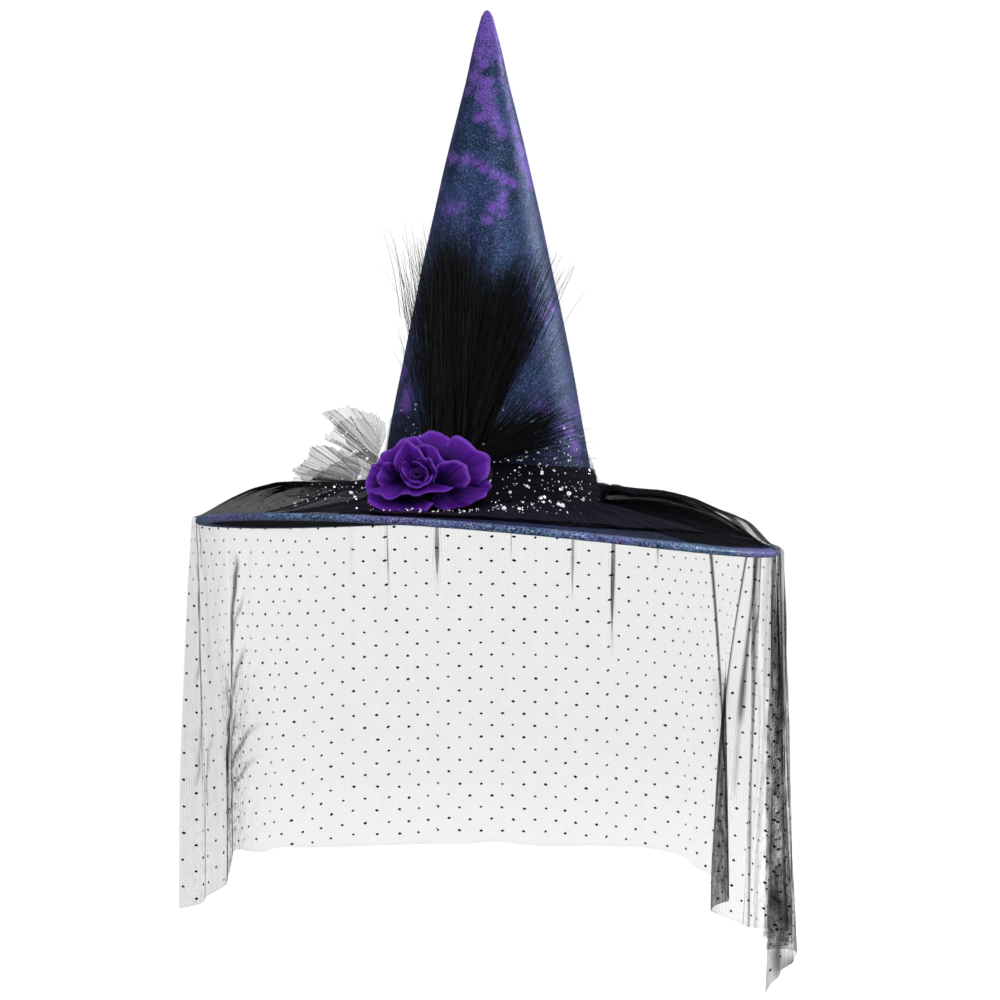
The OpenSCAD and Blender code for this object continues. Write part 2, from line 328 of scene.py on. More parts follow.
def make_group(name, inputs, outputs, build):
    """A shader node group. build(tree, given) returns what each named output holds."""
    tree = bpy.data.node_groups.new(name, "ShaderNodeTree")
    for label, kind, value in inputs:
        socket = tree.interface.new_socket(label, in_out="INPUT", socket_type="NodeSocket" + kind)
        if value is not None:
            socket.default_value = value
    for label, kind in outputs:
        tree.interface.new_socket(label, in_out="OUTPUT", socket_type="NodeSocket" + kind)
    results = build(tree, tree.nodes.new("NodeGroupInput").outputs)
    out = tree.nodes.new("NodeGroupOutput")
    for label, value in results.items():
        tree.links.new(value, out.inputs[label])
    return tree


def use(tree, group, inputs):
    return add(tree, "ShaderNodeGroup", inputs, node_tree=group).outputs


def make_material(name, build, **constants):
    """A material. build(tree) returns the sockets that feed the shader; constants are set on it."""
    material = bpy.data.materials.new(name)
    material.use_nodes = True
    tree = material.node_tree
    shader = tree.nodes["Principled BSDF"]
    for label, value in build(tree).items():
        tree.links.new(value, shader.inputs[label])
    for label, value in constants.items():
        shader.inputs[label.replace("_", " ")].default_value = value
    return material


# ---- Shared effects ----

def build_velvet(tree, given):
    """Pile with a grain of dark and bright tufts, cloudy in two tones, violet where it is dyed, and with
    painted glints.
    """
    place = object_place(tree)
    tone = step(tree, noise(tree, place, given["Blotch"], 7, 0.74), 0.36, 0.66)
    colour = blend_colours(tree, tone, given["Deep"], given["Mid"])
    ragged = calc(tree, "MULTIPLY_ADD", noise(tree, place, calc(tree, "MULTIPLY", given["Blotch"], 3.6),
                                              7, 0.78), 2.3, -1.15)
    dyed = step(tree, calc(tree, "ADD", given["Dye"], ragged), 0.06, 0.94)
    colour = blend_colours(tree, dyed, colour, given["Violet"])
    pile = noise(tree, place, given["Grain"], 2, 0.7)
    dark = step(tree, pile, 0.32, 0.64, calc(tree, "SUBTRACT", 1.0, given["Contrast"]),
                calc(tree, "ADD", 1.0, given["Contrast"]))
    colour = add(tree, "ShaderNodeVectorMath", {0: colour, "Scale": dark}, operation="SCALE").outputs[0]
    # Painted glints: specks of painted highlight mixed into the colour; the same mask also makes the pile a
    # little metallic
    painted_glints = step(tree, noise(tree, place, calc(tree, "MULTIPLY", given["Grain"], 1.1), 1), 0.56, 0.70)
    painted_glints = calc(tree, "MULTIPLY", painted_glints, given["Painted Glint"])
    colour = blend_colours(tree, painted_glints, colour, given["Bright"])
    return {"Colour": colour, "Painted Glint": painted_glints, "Height": pile}


def build_net(tree, given):
    """Three sets of threads, 60 degrees apart, round six-sided holes. Cover is what one layer hides;
    Layers is how many lie on each other, and Crush how strongly fine creases are drawn into them."""
    across = add(tree, "ShaderNodeSeparateXYZ", {0: given["Place"]}).outputs
    x = calc(tree, "DIVIDE", across[0], given["Hole"])
    y = calc(tree, "DIVIDE", across[1], given["Hole"])
    total = None
    for along, up in ((1.0, 0.0), (0.5, 0.866), (-0.5, 0.866)):
        line = calc(tree, "MULTIPLY_ADD", x, along, calc(tree, "MULTIPLY", y, up))
        away = calc(tree, "ABSOLUTE", calc(tree, "SUBTRACT", calc(tree, "FRACT", line), 0.5))
        thread = calc(tree, "GREATER_THAN", away, calc(tree, "SUBTRACT", 0.5, given["Thread"]))
        total = thread if total is None else calc(tree, "MAXIMUM", total, thread)
    uneven = noise(tree, given["Place"], 60, 3)
    cover = calc(tree, "MULTIPLY", given["Cover"], step(tree, uneven, 0.3, 0.7, 0.94, 1.06))
    drawn = add(tree, "ShaderNodeVectorMath", {0: given["Place"], 1: (125, 46, 1)}, operation="MULTIPLY")
    ridge = calc(tree, "ABSOLUTE", calc(tree, "SUBTRACT", noise(tree, drawn.outputs[0], 1.0, 4, 0.6), 0.5))
    ridge = calc(tree, "MULTIPLY", step(tree, ridge, 0.0, 0.045, 1.0, 0.0), given["Crush"])
    depth = calc(tree, "ADD", given["Layers"], calc(tree, "MULTIPLY", ridge, 4.5))
    first = calc(tree, "MULTIPLY", cover, calc(tree, "MULTIPLY_ADD", total, 2.0, 0.38), clamp=True)
    first = calc(tree, "MULTIPLY", first, calc(tree, "MINIMUM", depth, 1.0))
    others = calc(tree, "MAXIMUM", calc(tree, "SUBTRACT", depth, 1.0), 0.0)
    seen = calc(tree, "POWER", calc(tree, "SUBTRACT", 1.0, calc(tree, "MULTIPLY", cover, 0.9)), others)
    cover = calc(tree, "SUBTRACT", 1.0, calc(tree, "MULTIPLY", calc(tree, "SUBTRACT", 1.0, first), seen))
    return {"Cover": cover, "Threads": total}


def build_weave(tree, given):
    """A plain weave: threads that pass over and under each other."""
    across = add(tree, "ShaderNodeSeparateXYZ", {0: given["Place"]}).outputs
    turns = calc(tree, "DIVIDE", np.pi, given["Pitch"])
    warp = calc(tree, "SINE", calc(tree, "MULTIPLY", across[0], turns))
    weft = calc(tree, "SINE", calc(tree, "MULTIPLY", across[1], turns))
    height = calc(tree, "MULTIPLY_ADD", calc(tree, "MULTIPLY", warp, weft), 0.5, 0.5)
    slub = noise(tree, given["Place"], 90, 4, 0.6)
    return {"Height": height, "Slub": calc(tree, "MULTIPLY_ADD", height, 0.35, slub)}


def build_fibres(tree, given):
    """Matted or combed fibres: noise drawn out along one direction."""
    drawn = add(tree, "ShaderNodeVectorMath", {0: given["Place"], 1: given["Draw"]}, operation="MULTIPLY")
    fine = noise(tree, drawn.outputs[0], 1.0, 4, 0.65)
    return {"Fibre": fine, "Tone": step(tree, fine, 0.35, 0.65)}


VELVET = make_group("velvet_with_painted_glints", [
    ("Dye", "Float", 0.0), ("Deep", "Color", None), ("Mid", "Color", None), ("Violet", "Color", None),
    ("Bright", "Color", None), ("Blotch", "Float", 30.0), ("Grain", "Float", 900.0),
    ("Painted Glint", "Float", 0.5), ("Contrast", "Float", 0.5)],
    [("Colour", "Color"), ("Painted Glint", "Float"), ("Height", "Float")], build_velvet)
NET = make_group("net_threads", [
    ("Place", "Vector", None), ("Hole", "Float", 1.4 * MM), ("Thread", "Float", 0.06),
    ("Cover", "Float", 0.1), ("Layers", "Float", 1.0), ("Crush", "Float", 0.0)],
    [("Cover", "Float"), ("Threads", "Float")], build_net)
WEAVE = make_group("plain_weave", [
    ("Place", "Vector", None), ("Pitch", "Float", 0.5 * MM)], [("Height", "Float"), ("Slub", "Float")],
    build_weave)
FIBRES = make_group("drawn_fibres", [
    ("Place", "Vector", None), ("Draw", "Vector", (1.0, 1.0, 1.0))],
    [("Fibre", "Float"), ("Tone", "Float")], build_fibres)


# ---- Materials ----

# Colours as red, green, blue and opacity
DEEP_TEAL = (0.0055, 0.021, 0.052, 1)
MID_NAVY = (0.034, 0.066, 0.190, 1)
VIOLET_DYE = (0.205, 0.090, 0.530, 1)
# Colour of the velvet's painted glints, specks of painted highlight
PAINTED_GLINT_BLUE = (0.30, 0.42, 0.72, 1)
# Petal colours: the heart's is painted shade, the lip's is a painted highlight
PETAL_HEART_PAINTED_SHADE = (0.010, 0.0003, 0.080, 1)
PETAL_OPEN = (0.215, 0.020, 0.660, 1)
PETAL_LIP_PAINTED_HIGHLIGHT = (0.330, 0.110, 0.750, 1)
BARB_BLACK = (0.0012, 0.0016, 0.003, 1)
BARB_BROWN = (0.012, 0.011, 0.012, 1)


def velvet_material(name, deep, mid, violet, glint_colour, grain, painted_glint, contrast, sheen, shine):
    def build(tree):
        inputs = {"Deep": deep, "Mid": mid, "Violet": violet, "Bright": glint_colour,
                  "Blotch": 34, "Grain": grain, "Painted Glint": painted_glint, "Contrast": contrast,
                  "Dye": field(tree, "dye")}
        pile = use(tree, VELVET, inputs)
        return {"Base Color": pile["Colour"],
                "Roughness": step(tree, pile["Height"], 0.3, 0.7, 0.56, 0.32),
                "Metallic": calc(tree, "MULTIPLY", pile["Painted Glint"], 0.5),
                "Normal": bump(tree, pile["Height"], 0.5 * MM, 0.55)}
    return make_material(name, build, Sheen_Weight=sheen, Sheen_Roughness=0.4,
                         Sheen_Tint=(0.30, 0.45, 0.95, 1), Specular_IOR_Level=shine,
                         Specular_Tint=(0.40, 0.62, 1, 1))


def net_material(name, colour, hole, thread, cover, glow=0.0):
    def build(tree):
        inputs = {"Place": flat_place(tree), "Hole": hole, "Thread": thread, "Cover": cover,
                  "Layers": field(tree, "layers"), "Crush": field(tree, "crush")}
        net = use(tree, NET, inputs)
        lit = tuple(min(1.0, 1.8 * c + 0.004) for c in colour[:3]) + (1,)
        return {"Alpha": net["Cover"], "Base Color": blend_colours(tree, net["Threads"], colour, lit)}
    return make_material(name, build, Roughness=0.75, Sheen_Weight=glow, Specular_IOR_Level=0.05)


def cloth_material(name, dark, light, pitch, roughness, depth=0.12 * MM, shine=0.3):
    def build(tree):
        place = object_place(tree)
        weave = use(tree, WEAVE, {"Place": place, "Pitch": pitch})
        return {"Base Color": blend_colours(tree, step(tree, weave["Slub"], 0.3, 1.0), dark, light),
                "Roughness": step(tree, weave["Slub"], 0.3, 1.0, roughness + 0.1, roughness - 0.1),
                "Normal": bump(tree, weave["Height"], depth, 0.6)}
    return make_material(name, build, Specular_IOR_Level=shine)


def fibre_material(name, dark, light, draw, roughness, depth=0.2 * MM, sheen=0.1, shine=0.5):
    def build(tree):
        fibres = use(tree, FIBRES, {"Place": object_place(tree), "Draw": draw})
        return {"Base Color": blend_colours(tree, fibres["Tone"], dark, light),
                "Roughness": step(tree, fibres["Fibre"], 0.3, 0.7, roughness + 0.12, roughness - 0.12),
                "Normal": bump(tree, fibres["Fibre"], depth, 0.5)}
    return make_material(name, build, Sheen_Weight=sheen, Specular_IOR_Level=shine)


def petal_material():
    """Sized poplin with fine creases and veins. Painted shade darkens it towards the heart, a painted
    highlight lightens the lip, and the creases are painted darker and lighter.
    """
    def build(tree):
        place = flat_place(tree)
        weave = use(tree, WEAVE, {"Place": place, "Pitch": 0.35 * MM})
        creases = use(tree, FIBRES, {"Place": place, "Draw": (420, 60, 1)})
        colour = blend_colours(tree, field(tree, "open"), PETAL_HEART_PAINTED_SHADE, PETAL_OPEN)
        colour = blend_colours(tree, field(tree, "lip"), colour, PETAL_LIP_PAINTED_HIGHLIGHT)
        # Painted shade and light along the creases
        painted_crease_shade = step(tree, creases["Fibre"], 0.3, 0.7, 0.86, 1.12)
        colour = add(tree, "ShaderNodeVectorMath", {0: colour, "Scale": painted_crease_shade}, operation="SCALE")
        height = calc(tree, "MULTIPLY_ADD", weave["Height"], 0.15, creases["Fibre"])
        return {"Base Color": colour.outputs[0], "Normal": bump(tree, height, 0.3 * MM, 0.7),
                "Roughness": step(tree, creases["Fibre"], 0.3, 0.7, 0.7, 0.55)}
    return make_material("violet_poplin", build, Sheen_Weight=0.08, Sheen_Tint=(0.7, 0.3, 1, 1),
                         Specular_IOR_Level=0.22)


def feather_material():
    """Dyed black barbs: each strand has its own tone, a little browner towards its tip."""
    def build(tree):
        uneven = noise(tree, object_place(tree), 220, 2)
        tone = calc(tree, "MULTIPLY_ADD", uneven, 0.5, field(tree, "strand"))
        return {"Base Color": blend_colours(tree, step(tree, tone, 0.35, 1.3), BARB_BLACK, BARB_BROWN),
                "Roughness": step(tree, tone, 0.3, 1.2, 0.6, 0.4)}
    return make_material("dyed_barbs", build, Specular_IOR_Level=0.15)


def metal_material(name, colour, roughness, draw):
    def build(tree):
        marks = use(tree, FIBRES, {"Place": object_place(tree), "Draw": draw})
        worn = tuple(0.6 * c for c in colour[:3]) + (1,)
        return {"Base Color": blend_colours(tree, marks["Tone"], worn, colour),
                "Roughness": step(tree, marks["Fibre"], 0.3, 0.7, roughness + 0.15, roughness),
                "Normal": bump(tree, marks["Fibre"], 0.05 * MM, 0.4)}
    return make_material(name, build, Metallic=1.0)


def glitter_material():
    """Silver flakes with painted sparkle: some are painted brighter than others, and all glow a little with
    painted light.
    """
    def build(tree):
        painted_sparkle = noise(tree, object_place(tree), 700, 1)
        return {"Base Color": blend_colours(tree, step(tree, painted_sparkle, 0.35, 0.6), (0.62, 0.63, 0.70, 1),
                                            (0.97, 0.97, 1, 1)),
                "Roughness": step(tree, painted_sparkle, 0.3, 0.7, 0.35, 0.12)}
    # Painted glow: the flakes give off light of their own
    return make_material("silver_glitter_painted_glow", build, Metallic=0.35, Emission_Color=(0.9, 0.92, 1, 1),
                         Emission_Strength=0.55)


# The brim's top: the crown's velvet in darker colours, painted shade for where the tulle and veil shadow it
brim_velvet_painted_shade = velvet_material("brim_velvet_painted_shade", (0.002, 0.004, 0.012, 1), (0.010, 0.015, 0.045, 1),
                              (0.045, 0.022, 0.130, 1), PAINTED_GLINT_BLUE, 620, 0.4, 0.5, 0.02, 0.15)
crown_velvet = velvet_material("crown_velvet", DEEP_TEAL, MID_NAVY, VIOLET_DYE, PAINTED_GLINT_BLUE,
                               640, 0.42, 0.50, 0.14, 0.36)
# The edge binding: a lighter blue velvet, its colours raised further as painted highlight for the light
# along the edge, with strong painted glints
binding_velvet_painted_highlight = velvet_material("binding_velvet_painted_highlight", (0.026, 0.072, 0.150, 1), (0.125, 0.230, 0.420, 1),
                                 (0.160, 0.110, 0.400, 1), (0.62, 0.72, 0.92, 1),
                                 560, 0.95, 0.85, 0.10, 0.3)
black_lining = cloth_material("black_lining", (0.001, 0.001, 0.0018, 1), (0.003, 0.003, 0.005, 1),
                              0.5 * MM, 0.7, shine=0.08)
stiff_felt = fibre_material("stiff_felt", (0.10, 0.10, 0.105, 1), (0.24, 0.24, 0.245, 1),
                            (300, 300, 300), 0.9)
black_felt = fibre_material("black_felt", (0.008, 0.008, 0.009, 1), (0.03, 0.03, 0.033, 1),
                            (400, 400, 400), 0.9)
grosgrain = cloth_material("grosgrain", (0.006, 0.006, 0.007, 1), (0.022, 0.022, 0.024, 1),
                           1.2 * MM, 0.45, 0.3 * MM)
twill_tape = cloth_material("twill_tape", (0.006, 0.006, 0.007, 1), (0.02, 0.02, 0.022, 1), 0.7 * MM, 0.6)
steel_wire = metal_material("steel_wire", (0.55, 0.55, 0.57, 1), 0.25, (60, 60, 900))
crimp_metal = metal_material("crimp_metal", (0.72, 0.72, 0.74, 1), 0.3, (80, 900, 900))
black_thread = fibre_material("black_thread", (0.004, 0.004, 0.005, 1), (0.02, 0.02, 0.022, 1),
                              (2500, 2500, 2500), 0.6)
green_stem = fibre_material("green_stem", (0.010, 0.035, 0.010, 1), (0.03, 0.09, 0.03, 1),
                            (200, 200, 60), 0.5)
dark_quill = fibre_material("dark_quill", (0.001, 0.001, 0.001, 1), (0.004, 0.0035, 0.003, 1),
                            (900, 900, 90), 0.8, 0.05 * MM, sheen=0.0, shine=0.02)
veil_net = net_material("veil_net", (0.012, 0.012, 0.016, 1), 2.0 * MM, 0.05, 0.20)
black_tulle = net_material("black_tulle", (0.0035, 0.003, 0.006, 1), 1.2 * MM, 0.08, 0.66)
glitter_tulle = net_material("glitter_tulle", (0.016, 0.012, 0.024, 1), 1.2 * MM, 0.08, 0.42)
fan_tulle = net_material("fan_tulle", (0.018, 0.017, 0.021, 1), 1.2 * MM, 0.08, 0.27)
dot_flock = fibre_material("dot_flock", (0.010, 0.010, 0.013, 1), (0.03, 0.03, 0.035, 1),
                           (1500, 1500, 1500), 0.9)
petal_cloth = petal_material()
barbs = feather_material()
silver_painted_glow = glitter_material()


# ---- Crown ----

# Violet places in the crown's dye: angle, height, half width and half height in mm, strength; those with
# a strength below nothing stay teal
DYE_SPOTS = [
    (270, 446, 60, 36, 0.95), (240, 410, 7, 9, 0.75), (227, 390, 8, 8, 0.7), (211, 377, 8, 5, 0.6),
    (260, 399, 6, 8, 0.7), (265, 383, 8, 8, 0.8), (263, 370, 7, 7, 0.85), (275, 359, 7, 8, 0.8),
    (260, 351, 8, 5, 0.75), (284, 348, 7, 7, 0.85), (294, 339, 6, 6, 0.85), (318, 402, 5, 7, 0.6),
    (310, 385, 5, 5, 0.5), (321, 362, 5, 6, 0.6), (324, 341, 7, 9, 0.6), (332, 324, 9, 10, 0.65),
    (338, 308, 13, 10, 0.7), (341, 295, 10, 7, 0.6), (196, 319, 15, 4, 0.6), (219, 315, 8, 4, 0.65),
    (240, 313, 7, 5, 0.75), (257, 310, 6, 4, 0.62), (266, 304, 6, 5, 0.65), (279, 299, 6, 5, 0.75),
    (292, 295, 6, 6, 0.85), (302, 292, 5, 5, 0.7), (196, 293, 10, 5, 0.6), (276, 270, 5, 6, 0.75),
    (286, 274, 6, 6, 0.8), (289, 281, 5, 5, 0.7), (271, 260, 5, 4, 0.6), (285, 264, 4, 5, 0.6),
    (229, 271, 16, 8, 0.40), (196, 130, 12, 9, 0.6), (210, 104, 11, 13, 0.8), (331, 185, 9, 5, 0.65),
    (318, 175, 5, 6, 0.6), (306, 203, 2, 10, 0.6), (340, 94, 22, 9, 0.42), (327, 77, 10, 7, 0.6),
    (330, 61, 12, 8, 0.7), (320, 82, 11, 7, 0.45), (304, 97, 10, 7, 0.35), (276, 393, 5, 5, -0.6),
    (304, 365, 5, 5, -0.6), (295, 310, 6, 5, -0.6), (213, 361, 10, 6, -0.4), (239, 333, 12, 8, -0.4),
    (241, 294, 16, 7, -0.4), (30, 372, 18, 30, 0.7), (84, 300, 26, 20, 0.7), (124, 205, 30, 32, 0.7),
    (42, 150, 36, 26, 0.7), (92, 92, 40, 22, 0.6), (150, 46, 30, 22, 0.7), (160, 255, 20, 34, 0.6),
    (12, 246, 20, 28, 0.6), (66, 400, 10, 20, 0.7)]


def dye_at(angles, heights):
    shape = np.broadcast(angles, heights).shape
    violet, teal = np.zeros(shape), np.zeros(shape)
    for angle, height, half_width, half_height, strength in DYE_SPOTS:
        around = np.radians(wrap_angle(angles - angle)) * crown_radius(heights) / MM
        spot = strength * bell(around, 0, half_width) * bell(heights / MM, height, half_height)
        violet, teal = np.maximum(violet, spot), np.minimum(teal, spot)
    return 1.2 * violet + teal + 0.1


def make_crown():
    """The velvet cone: a sewn seam at the back and the slight dents of a stiffened cloth cone."""
    along = np.concatenate([[0], np.cumsum(np.hypot(*np.diff(CROWN, axis=0).T))])
    rows, columns = 340, 288
    stations = np.linspace(0, along[-1], rows)
    z = np.interp(stations, along, CROWN[:, 0])[:, None]
    r = np.interp(stations, along, CROWN[:, 1])[:, None]
    angle = np.arange(columns)[None] * 360 / columns + BACK
    turn = np.radians(angle)
    body = smooth(r, 4 * MM, 20 * MM) * MM
    dents = 0.45 * np.sin(2 * turn + 21 * z) + 0.3 * np.sin(3 * turn - 34 * z + 1) \
        + 0.22 * np.sin(5 * turn + 52 * z) + 0.12 * np.sin(9 * turn - 88 * z)
    from_seam = np.radians(wrap_angle(angle - BACK)) * r / MM
    seam = 0.5 * bell(np.abs(from_seam), 2.4, 1.6) - 0.8 * bell(from_seam, 0, 0.8)
    radius = r + body * (0.55 * dents + seam - 0.35)
    below_tip = CROWN[-1, 0] - z
    radius = radius + 1.5 * MM * smooth(below_tip, 0, 7 * MM) * (1 - smooth(below_tip, 25 * MM, 70 * MM))
    points = polar(np.maximum(radius, 0.02 * MM), angle, z)
    flat = np.stack(np.broadcast_arrays(turn * 0.05, stations[:, None]), -1)
    piece("crown_velvet", points, grid_faces(rows, columns, ring=True), crown_velvet,
                 ["crown_cover"], flat, {"dye": dye_at(angle, z)})


# ---- Brim ----

def brim_sheet(name, low, high, material, node, pucker):
    """One cloth ring of the brim, from its inner to its outer radius."""
    rows, columns = 26, 480
    radii = np.linspace(low, high, rows)[:, None]
    angles = np.arange(columns)[None] * 360 / columns
    under = node == "brim_lining"
    lift = -BRIM_T if under else 0.0
    creases = pucker * waves(np.radians(angles) * 24, 5, 6, 0.6, 2.2) * smooth(radii, BRIM_IN, BRIM_R)
    height = brim_top(radii, angles) + lift + (-1 if under else 1) * np.abs(creases) * 0.6
    points = polar(radii, angles, height)
    flat = points[..., :2]
    blotch = 0.28 + 0.24 * waves(np.radians(angles) * 3, 11, 5, 0.5, 2.0) + 0 * radii
    made = piece(name, points, grid_faces(rows, columns, ring=True), material, [node], flat,
                 {"dye": blotch})
    thicken(made, 0.5 * MM, 1 if under else -1)


def make_binding():
    """The velvet strip over the brim's edge: in section a C, fat over the wire and thin at its lips."""
    # Distance in from the edge and height off the middle, in mm
    outside = [(13.8, 2.55), (12.5, 2.8), (10.5, 2.85), (8.5, 2.9), (6.5, 3.0), (4.5, 3.1), (2.8, 3.0),
               (1.4, 2.5), (0.5, 1.6), (0.1, 0.7)]
    inside = [(13.8, 2.05), (9.0, 2.1), (6.6, 2.1), (4.0, 2.2), (2.0, 1.7), (1.3, 0.9)]
    section = outside + [(d, -h) for d, h in reversed(outside)] \
        + [(d, -h) for d, h in inside] + [(d, h) for d, h in reversed(inside)]
    section = np.array(section) * MM
    steps = 760
    angles = np.arange(steps)[None] * 360 / steps
    arc = np.radians(angles) * BRIM_R / MM
    puckers = 0.16 * waves(arc, 3, 7, 0.5, 1.3) + 0.22 * waves(arc, 4, 4, 0.05, 0.25)
    outer = np.array([1.0] * (2 * len(outside)) + [0.0] * (2 * len(inside)))[:, None]
    inwards, height = section[:, :1], section[:, 1:]
    swell = 1 + outer * puckers * 0.07
    radius = BRIM_R - inwards + outer * puckers * 0.15 * MM * smooth(6 * MM - inwards, 0, 6 * MM)
    middle = brim_top(radius, angles) - BRIM_T / 2
    points = polar(radius, angles, middle + height * swell)
    rows = len(section)
    faces = grid_faces(rows, steps, ring=True)
    last = np.arange(steps)
    following = (last + 1) % steps
    closing = np.stack([(rows - 1) * steps + last, (rows - 1) * steps + following, following, last], -1)
    blotch = 0.34 + 0.30 * waves(np.radians(angles) * 4, 21, 6, 0.6, 2.4) + 0 * inwards
    made = piece("edge_binding", points, np.concatenate([faces, closing]), binding_velvet_painted_highlight,
                 ["brim_binding"], None, {"dye": blotch})
    made.modifiers.new("rounding", "SUBSURF").render_levels = 1
    made.modifiers["rounding"].levels = 1


def make_stitches():
    """Machine stitches along both lips of the binding."""
    pitch, length, width = 3.4 * MM, 2.5 * MM, 0.28 * MM
    inwards = 12.3 * MM
    radius = BRIM_R - inwards
    count = int(TAU * radius / pitch)
    points, faces = [], []
    ring = np.linspace(0, TAU, 7)[:-1]
    profile = [(-0.5, 0.25), (-0.3, 1.0), (0.3, 1.0), (0.5, 0.25)]
    for side in (1, -1):
        for k in range(count):
            a = 360 * k / count
            height = brim_top(radius, a) - BRIM_T / 2 + side * (BRIM_T / 2 + 1.2 * MM)
            centre = polar(radius, a, height)
            along = polar(1, a + 90, 0)
            out = polar(1, a, 0)
            start = len(points)
            for share, fat in profile:
                for turn in ring:
                    points.append(centre + along * share * length + fat * width * (
                        out * np.cos(turn) + np.array([0, 0, 1]) * np.sin(turn)))
            faces += grid_faces(len(profile), len(ring), ring=True, start=start).tolist()
    piece("binding_stitches", points, faces, black_thread)


# ---- Sheets of net and tulle ----

# The veil from its left end to its right one: angle where it crosses the rim, distance off the rim
# in mm, and where it reaches its hem, in mm
VEIL_STATIONS = np.array([
    (185, 0, -268, -24, -338), (179, 0, -251, -10, -333), (172, 0, -237, 0, -327), (165, 0, -229, 12, -315),
    (157, 0, -229, 42, -302), (149, 0, -226, 85, -303), (141, 0, -214, 132, -308),
    (133, 0, -186, 182, -314), (124, 0, -148, 221, -318), (114, 0, -100, 246, -320),
    (101.5, 0, -50, 260, -320), (90, 0, 0, 264, -321), (78.5, 0, 50, 260, -321),
    (66.5, 0, 100, 245, -321), (54.5, 0, 147, 219, -318), (48, 0, 183, 183, -322),
    (42, 0, 205, 140, -331), (37, 0, 222, 98, -346), (29, 0, 213, 86, -351), (21.5, 0, 204, 70, -356),
    (19, 2, 217, 60, -360), (16.5, 3, 227, 52, -362), (20.5, 1.2, 232, 46, -364),
    (12, 3, 243, 38, -366), (6, 2, 263, 14, -364), (8.5, 0.5, 243, -2, -366), (2, 3, 266, -16, -369),
    (3.5, 0.8, 242, -28, -372), (-5, 3, 267, -42, -374), (-12, 1, 238, -52, -404)])
# Where it folds over itself below the rim: angle, half width in degrees, sideways pull and depth in
# mm, how much of the drop it takes up and how much denser it looks
VEIL_PLEATS = [
    (101.3, 0.8, 8.5, 3.5, 0.24, 3.2), (61.8, 0.55, 5.5, 2.5, 0.46, 5.0), (112.6, 0.45, 4.0, 2.0, 0.30, 2.4),
    (71.2, 0.5, 4.5, 2.5, 0.30, 1.5), (85.0, 0.4, 2.4, 2.0, 0.18, 1.0), (121, 0.4, 3.0, 2.0, 0.24, 0.9),
    (51, 0.5, 3.4, 2.0, 0.16, 0.9), (148, 0.9, 3.0, 2.0, 0.45, 0.3), (156, 0.9, 3.0, 2.0, 0.50, 0.3),
    (172, 0.8, 3.0, 2.0, 0.55, 0.4), (178.5, 0.7, 2.0, 1.0, 0.35, 0.5)]
# Creases in it: width in stations, density, and their way down as share of the drop and place among
# the stations
VEIL_CREASES = [
    (0.11, 9.0, [(0.08, 4.4), (0.28, 4.2), (0.46, 4.05), (0.66, 3.4), (0.84, 2.9), (0.97, 2.9)]),
    (0.15, 13.0, [(0.62, 3.55), (0.76, 3.1), (0.84, 2.95), (1.1, 2.75)]),
    (0.14, 7.0, [(0.60, 6.0), (0.82, 2.95)]), (0.12, 7.0, [(0.70, 6.2), (0.88, 2.9)]),
    (0.10, 7.0, [(0.56, 4.7), (0.78, 3.1)]), (0.12, 6.4, [(0.74, 4.9), (0.90, 2.9)]),
    (0.10, 4.4, [(0.36, 5.2), (0.62, 3.6)]), (0.09, 4.0, [(0.20, 5.0), (0.40, 4.1)]),
    (0.08, 3.4, [(0.44, 3.4), (0.60, 3.7)]), (0.08, 6.5, [(-0.1, 1.4), (0.2, 1.3), (0.44, 0.55)]),
    (0.07, 5.0, [(-0.1, 1.8), (0.14, 1.75)]), (0.07, 3.6, [(0.30, 1.2), (0.52, 0.9)]),
    (0.08, 3.0, [(0.50, 0.9), (0.72, 0.4)]), (0.07, 3.0, [(0.56, 2.0), (0.80, 1.6)]),
    (0.06, 13.0, [(-0.1, 17.1), (1.1, 17.1)]), (0.80, 8.0, [(0.36, 18.0), (1.1, 18.0)]),
    (0.06, 13.0, [(-0.1, 19.0), (1.1, 19.0)]), (0.16, 9.0, [(-0.1, 20.15), (0.5, 20.05)]),
    (0.10, 5.0, [(-0.1, 20.45), (0.12, 20.9), (0.36, 22.2)]), (0.08, 3.0, [(0.3, 20.0), (0.7, 20.0)]),
    (0.10, 5.0, [(0.0, 22.2), (1.1, 22.2)]), (0.3, 2.0, [(-0.1, 23.3), (0.4, 23.3)]),
    (0.12, 2.5, [(0.0, 24.0), (1.1, 24.0)]), (1.6, 1.2, [(-0.3, 25.8), (0.5, 25.8)]),
    (1.2, 0.6, [(-0.3, 26.6), (0.72, 26.6)]),
    (0.12, 2.5, [(0.0, 26.0), (1.1, 26.0)]), (0.12, 2.5, [(0.0, 28.0), (1.1, 28.0)]),
    (1.0, 6.0, [(0.72, 29.0), (1.2, 29.0)])]
# Where it is crushed into small creases: place among the stations, width, strength, start in the drop
VEIL_CRUSH = [(1.1, 0.9, 0.15, 0.0), (3.4, 0.7, 0.7, 0.35), (4.4, 0.9, 0.7, 0.35), (18.2, 1.0, 0.9, 0.35),
              (26.0, 3.2, 0.45, 0.2)]
# How high it puffs between the crown, at 0, and the rim, at 1
VEIL_HUMP = [(0, 0.55), (0.03, 0.84), (0.07, 1.0), (0.13, 0.94), (0.18, 0.86), (0.27, 0.94), (0.4, 1.0),
             (0.54, 1.0), (0.68, 0.84), (0.8, 0.60), (0.87, 0.44), (0.93, 0.29), (0.97, 0.17), (1, 0.08)]
GATHER_R = 100.8 * MM


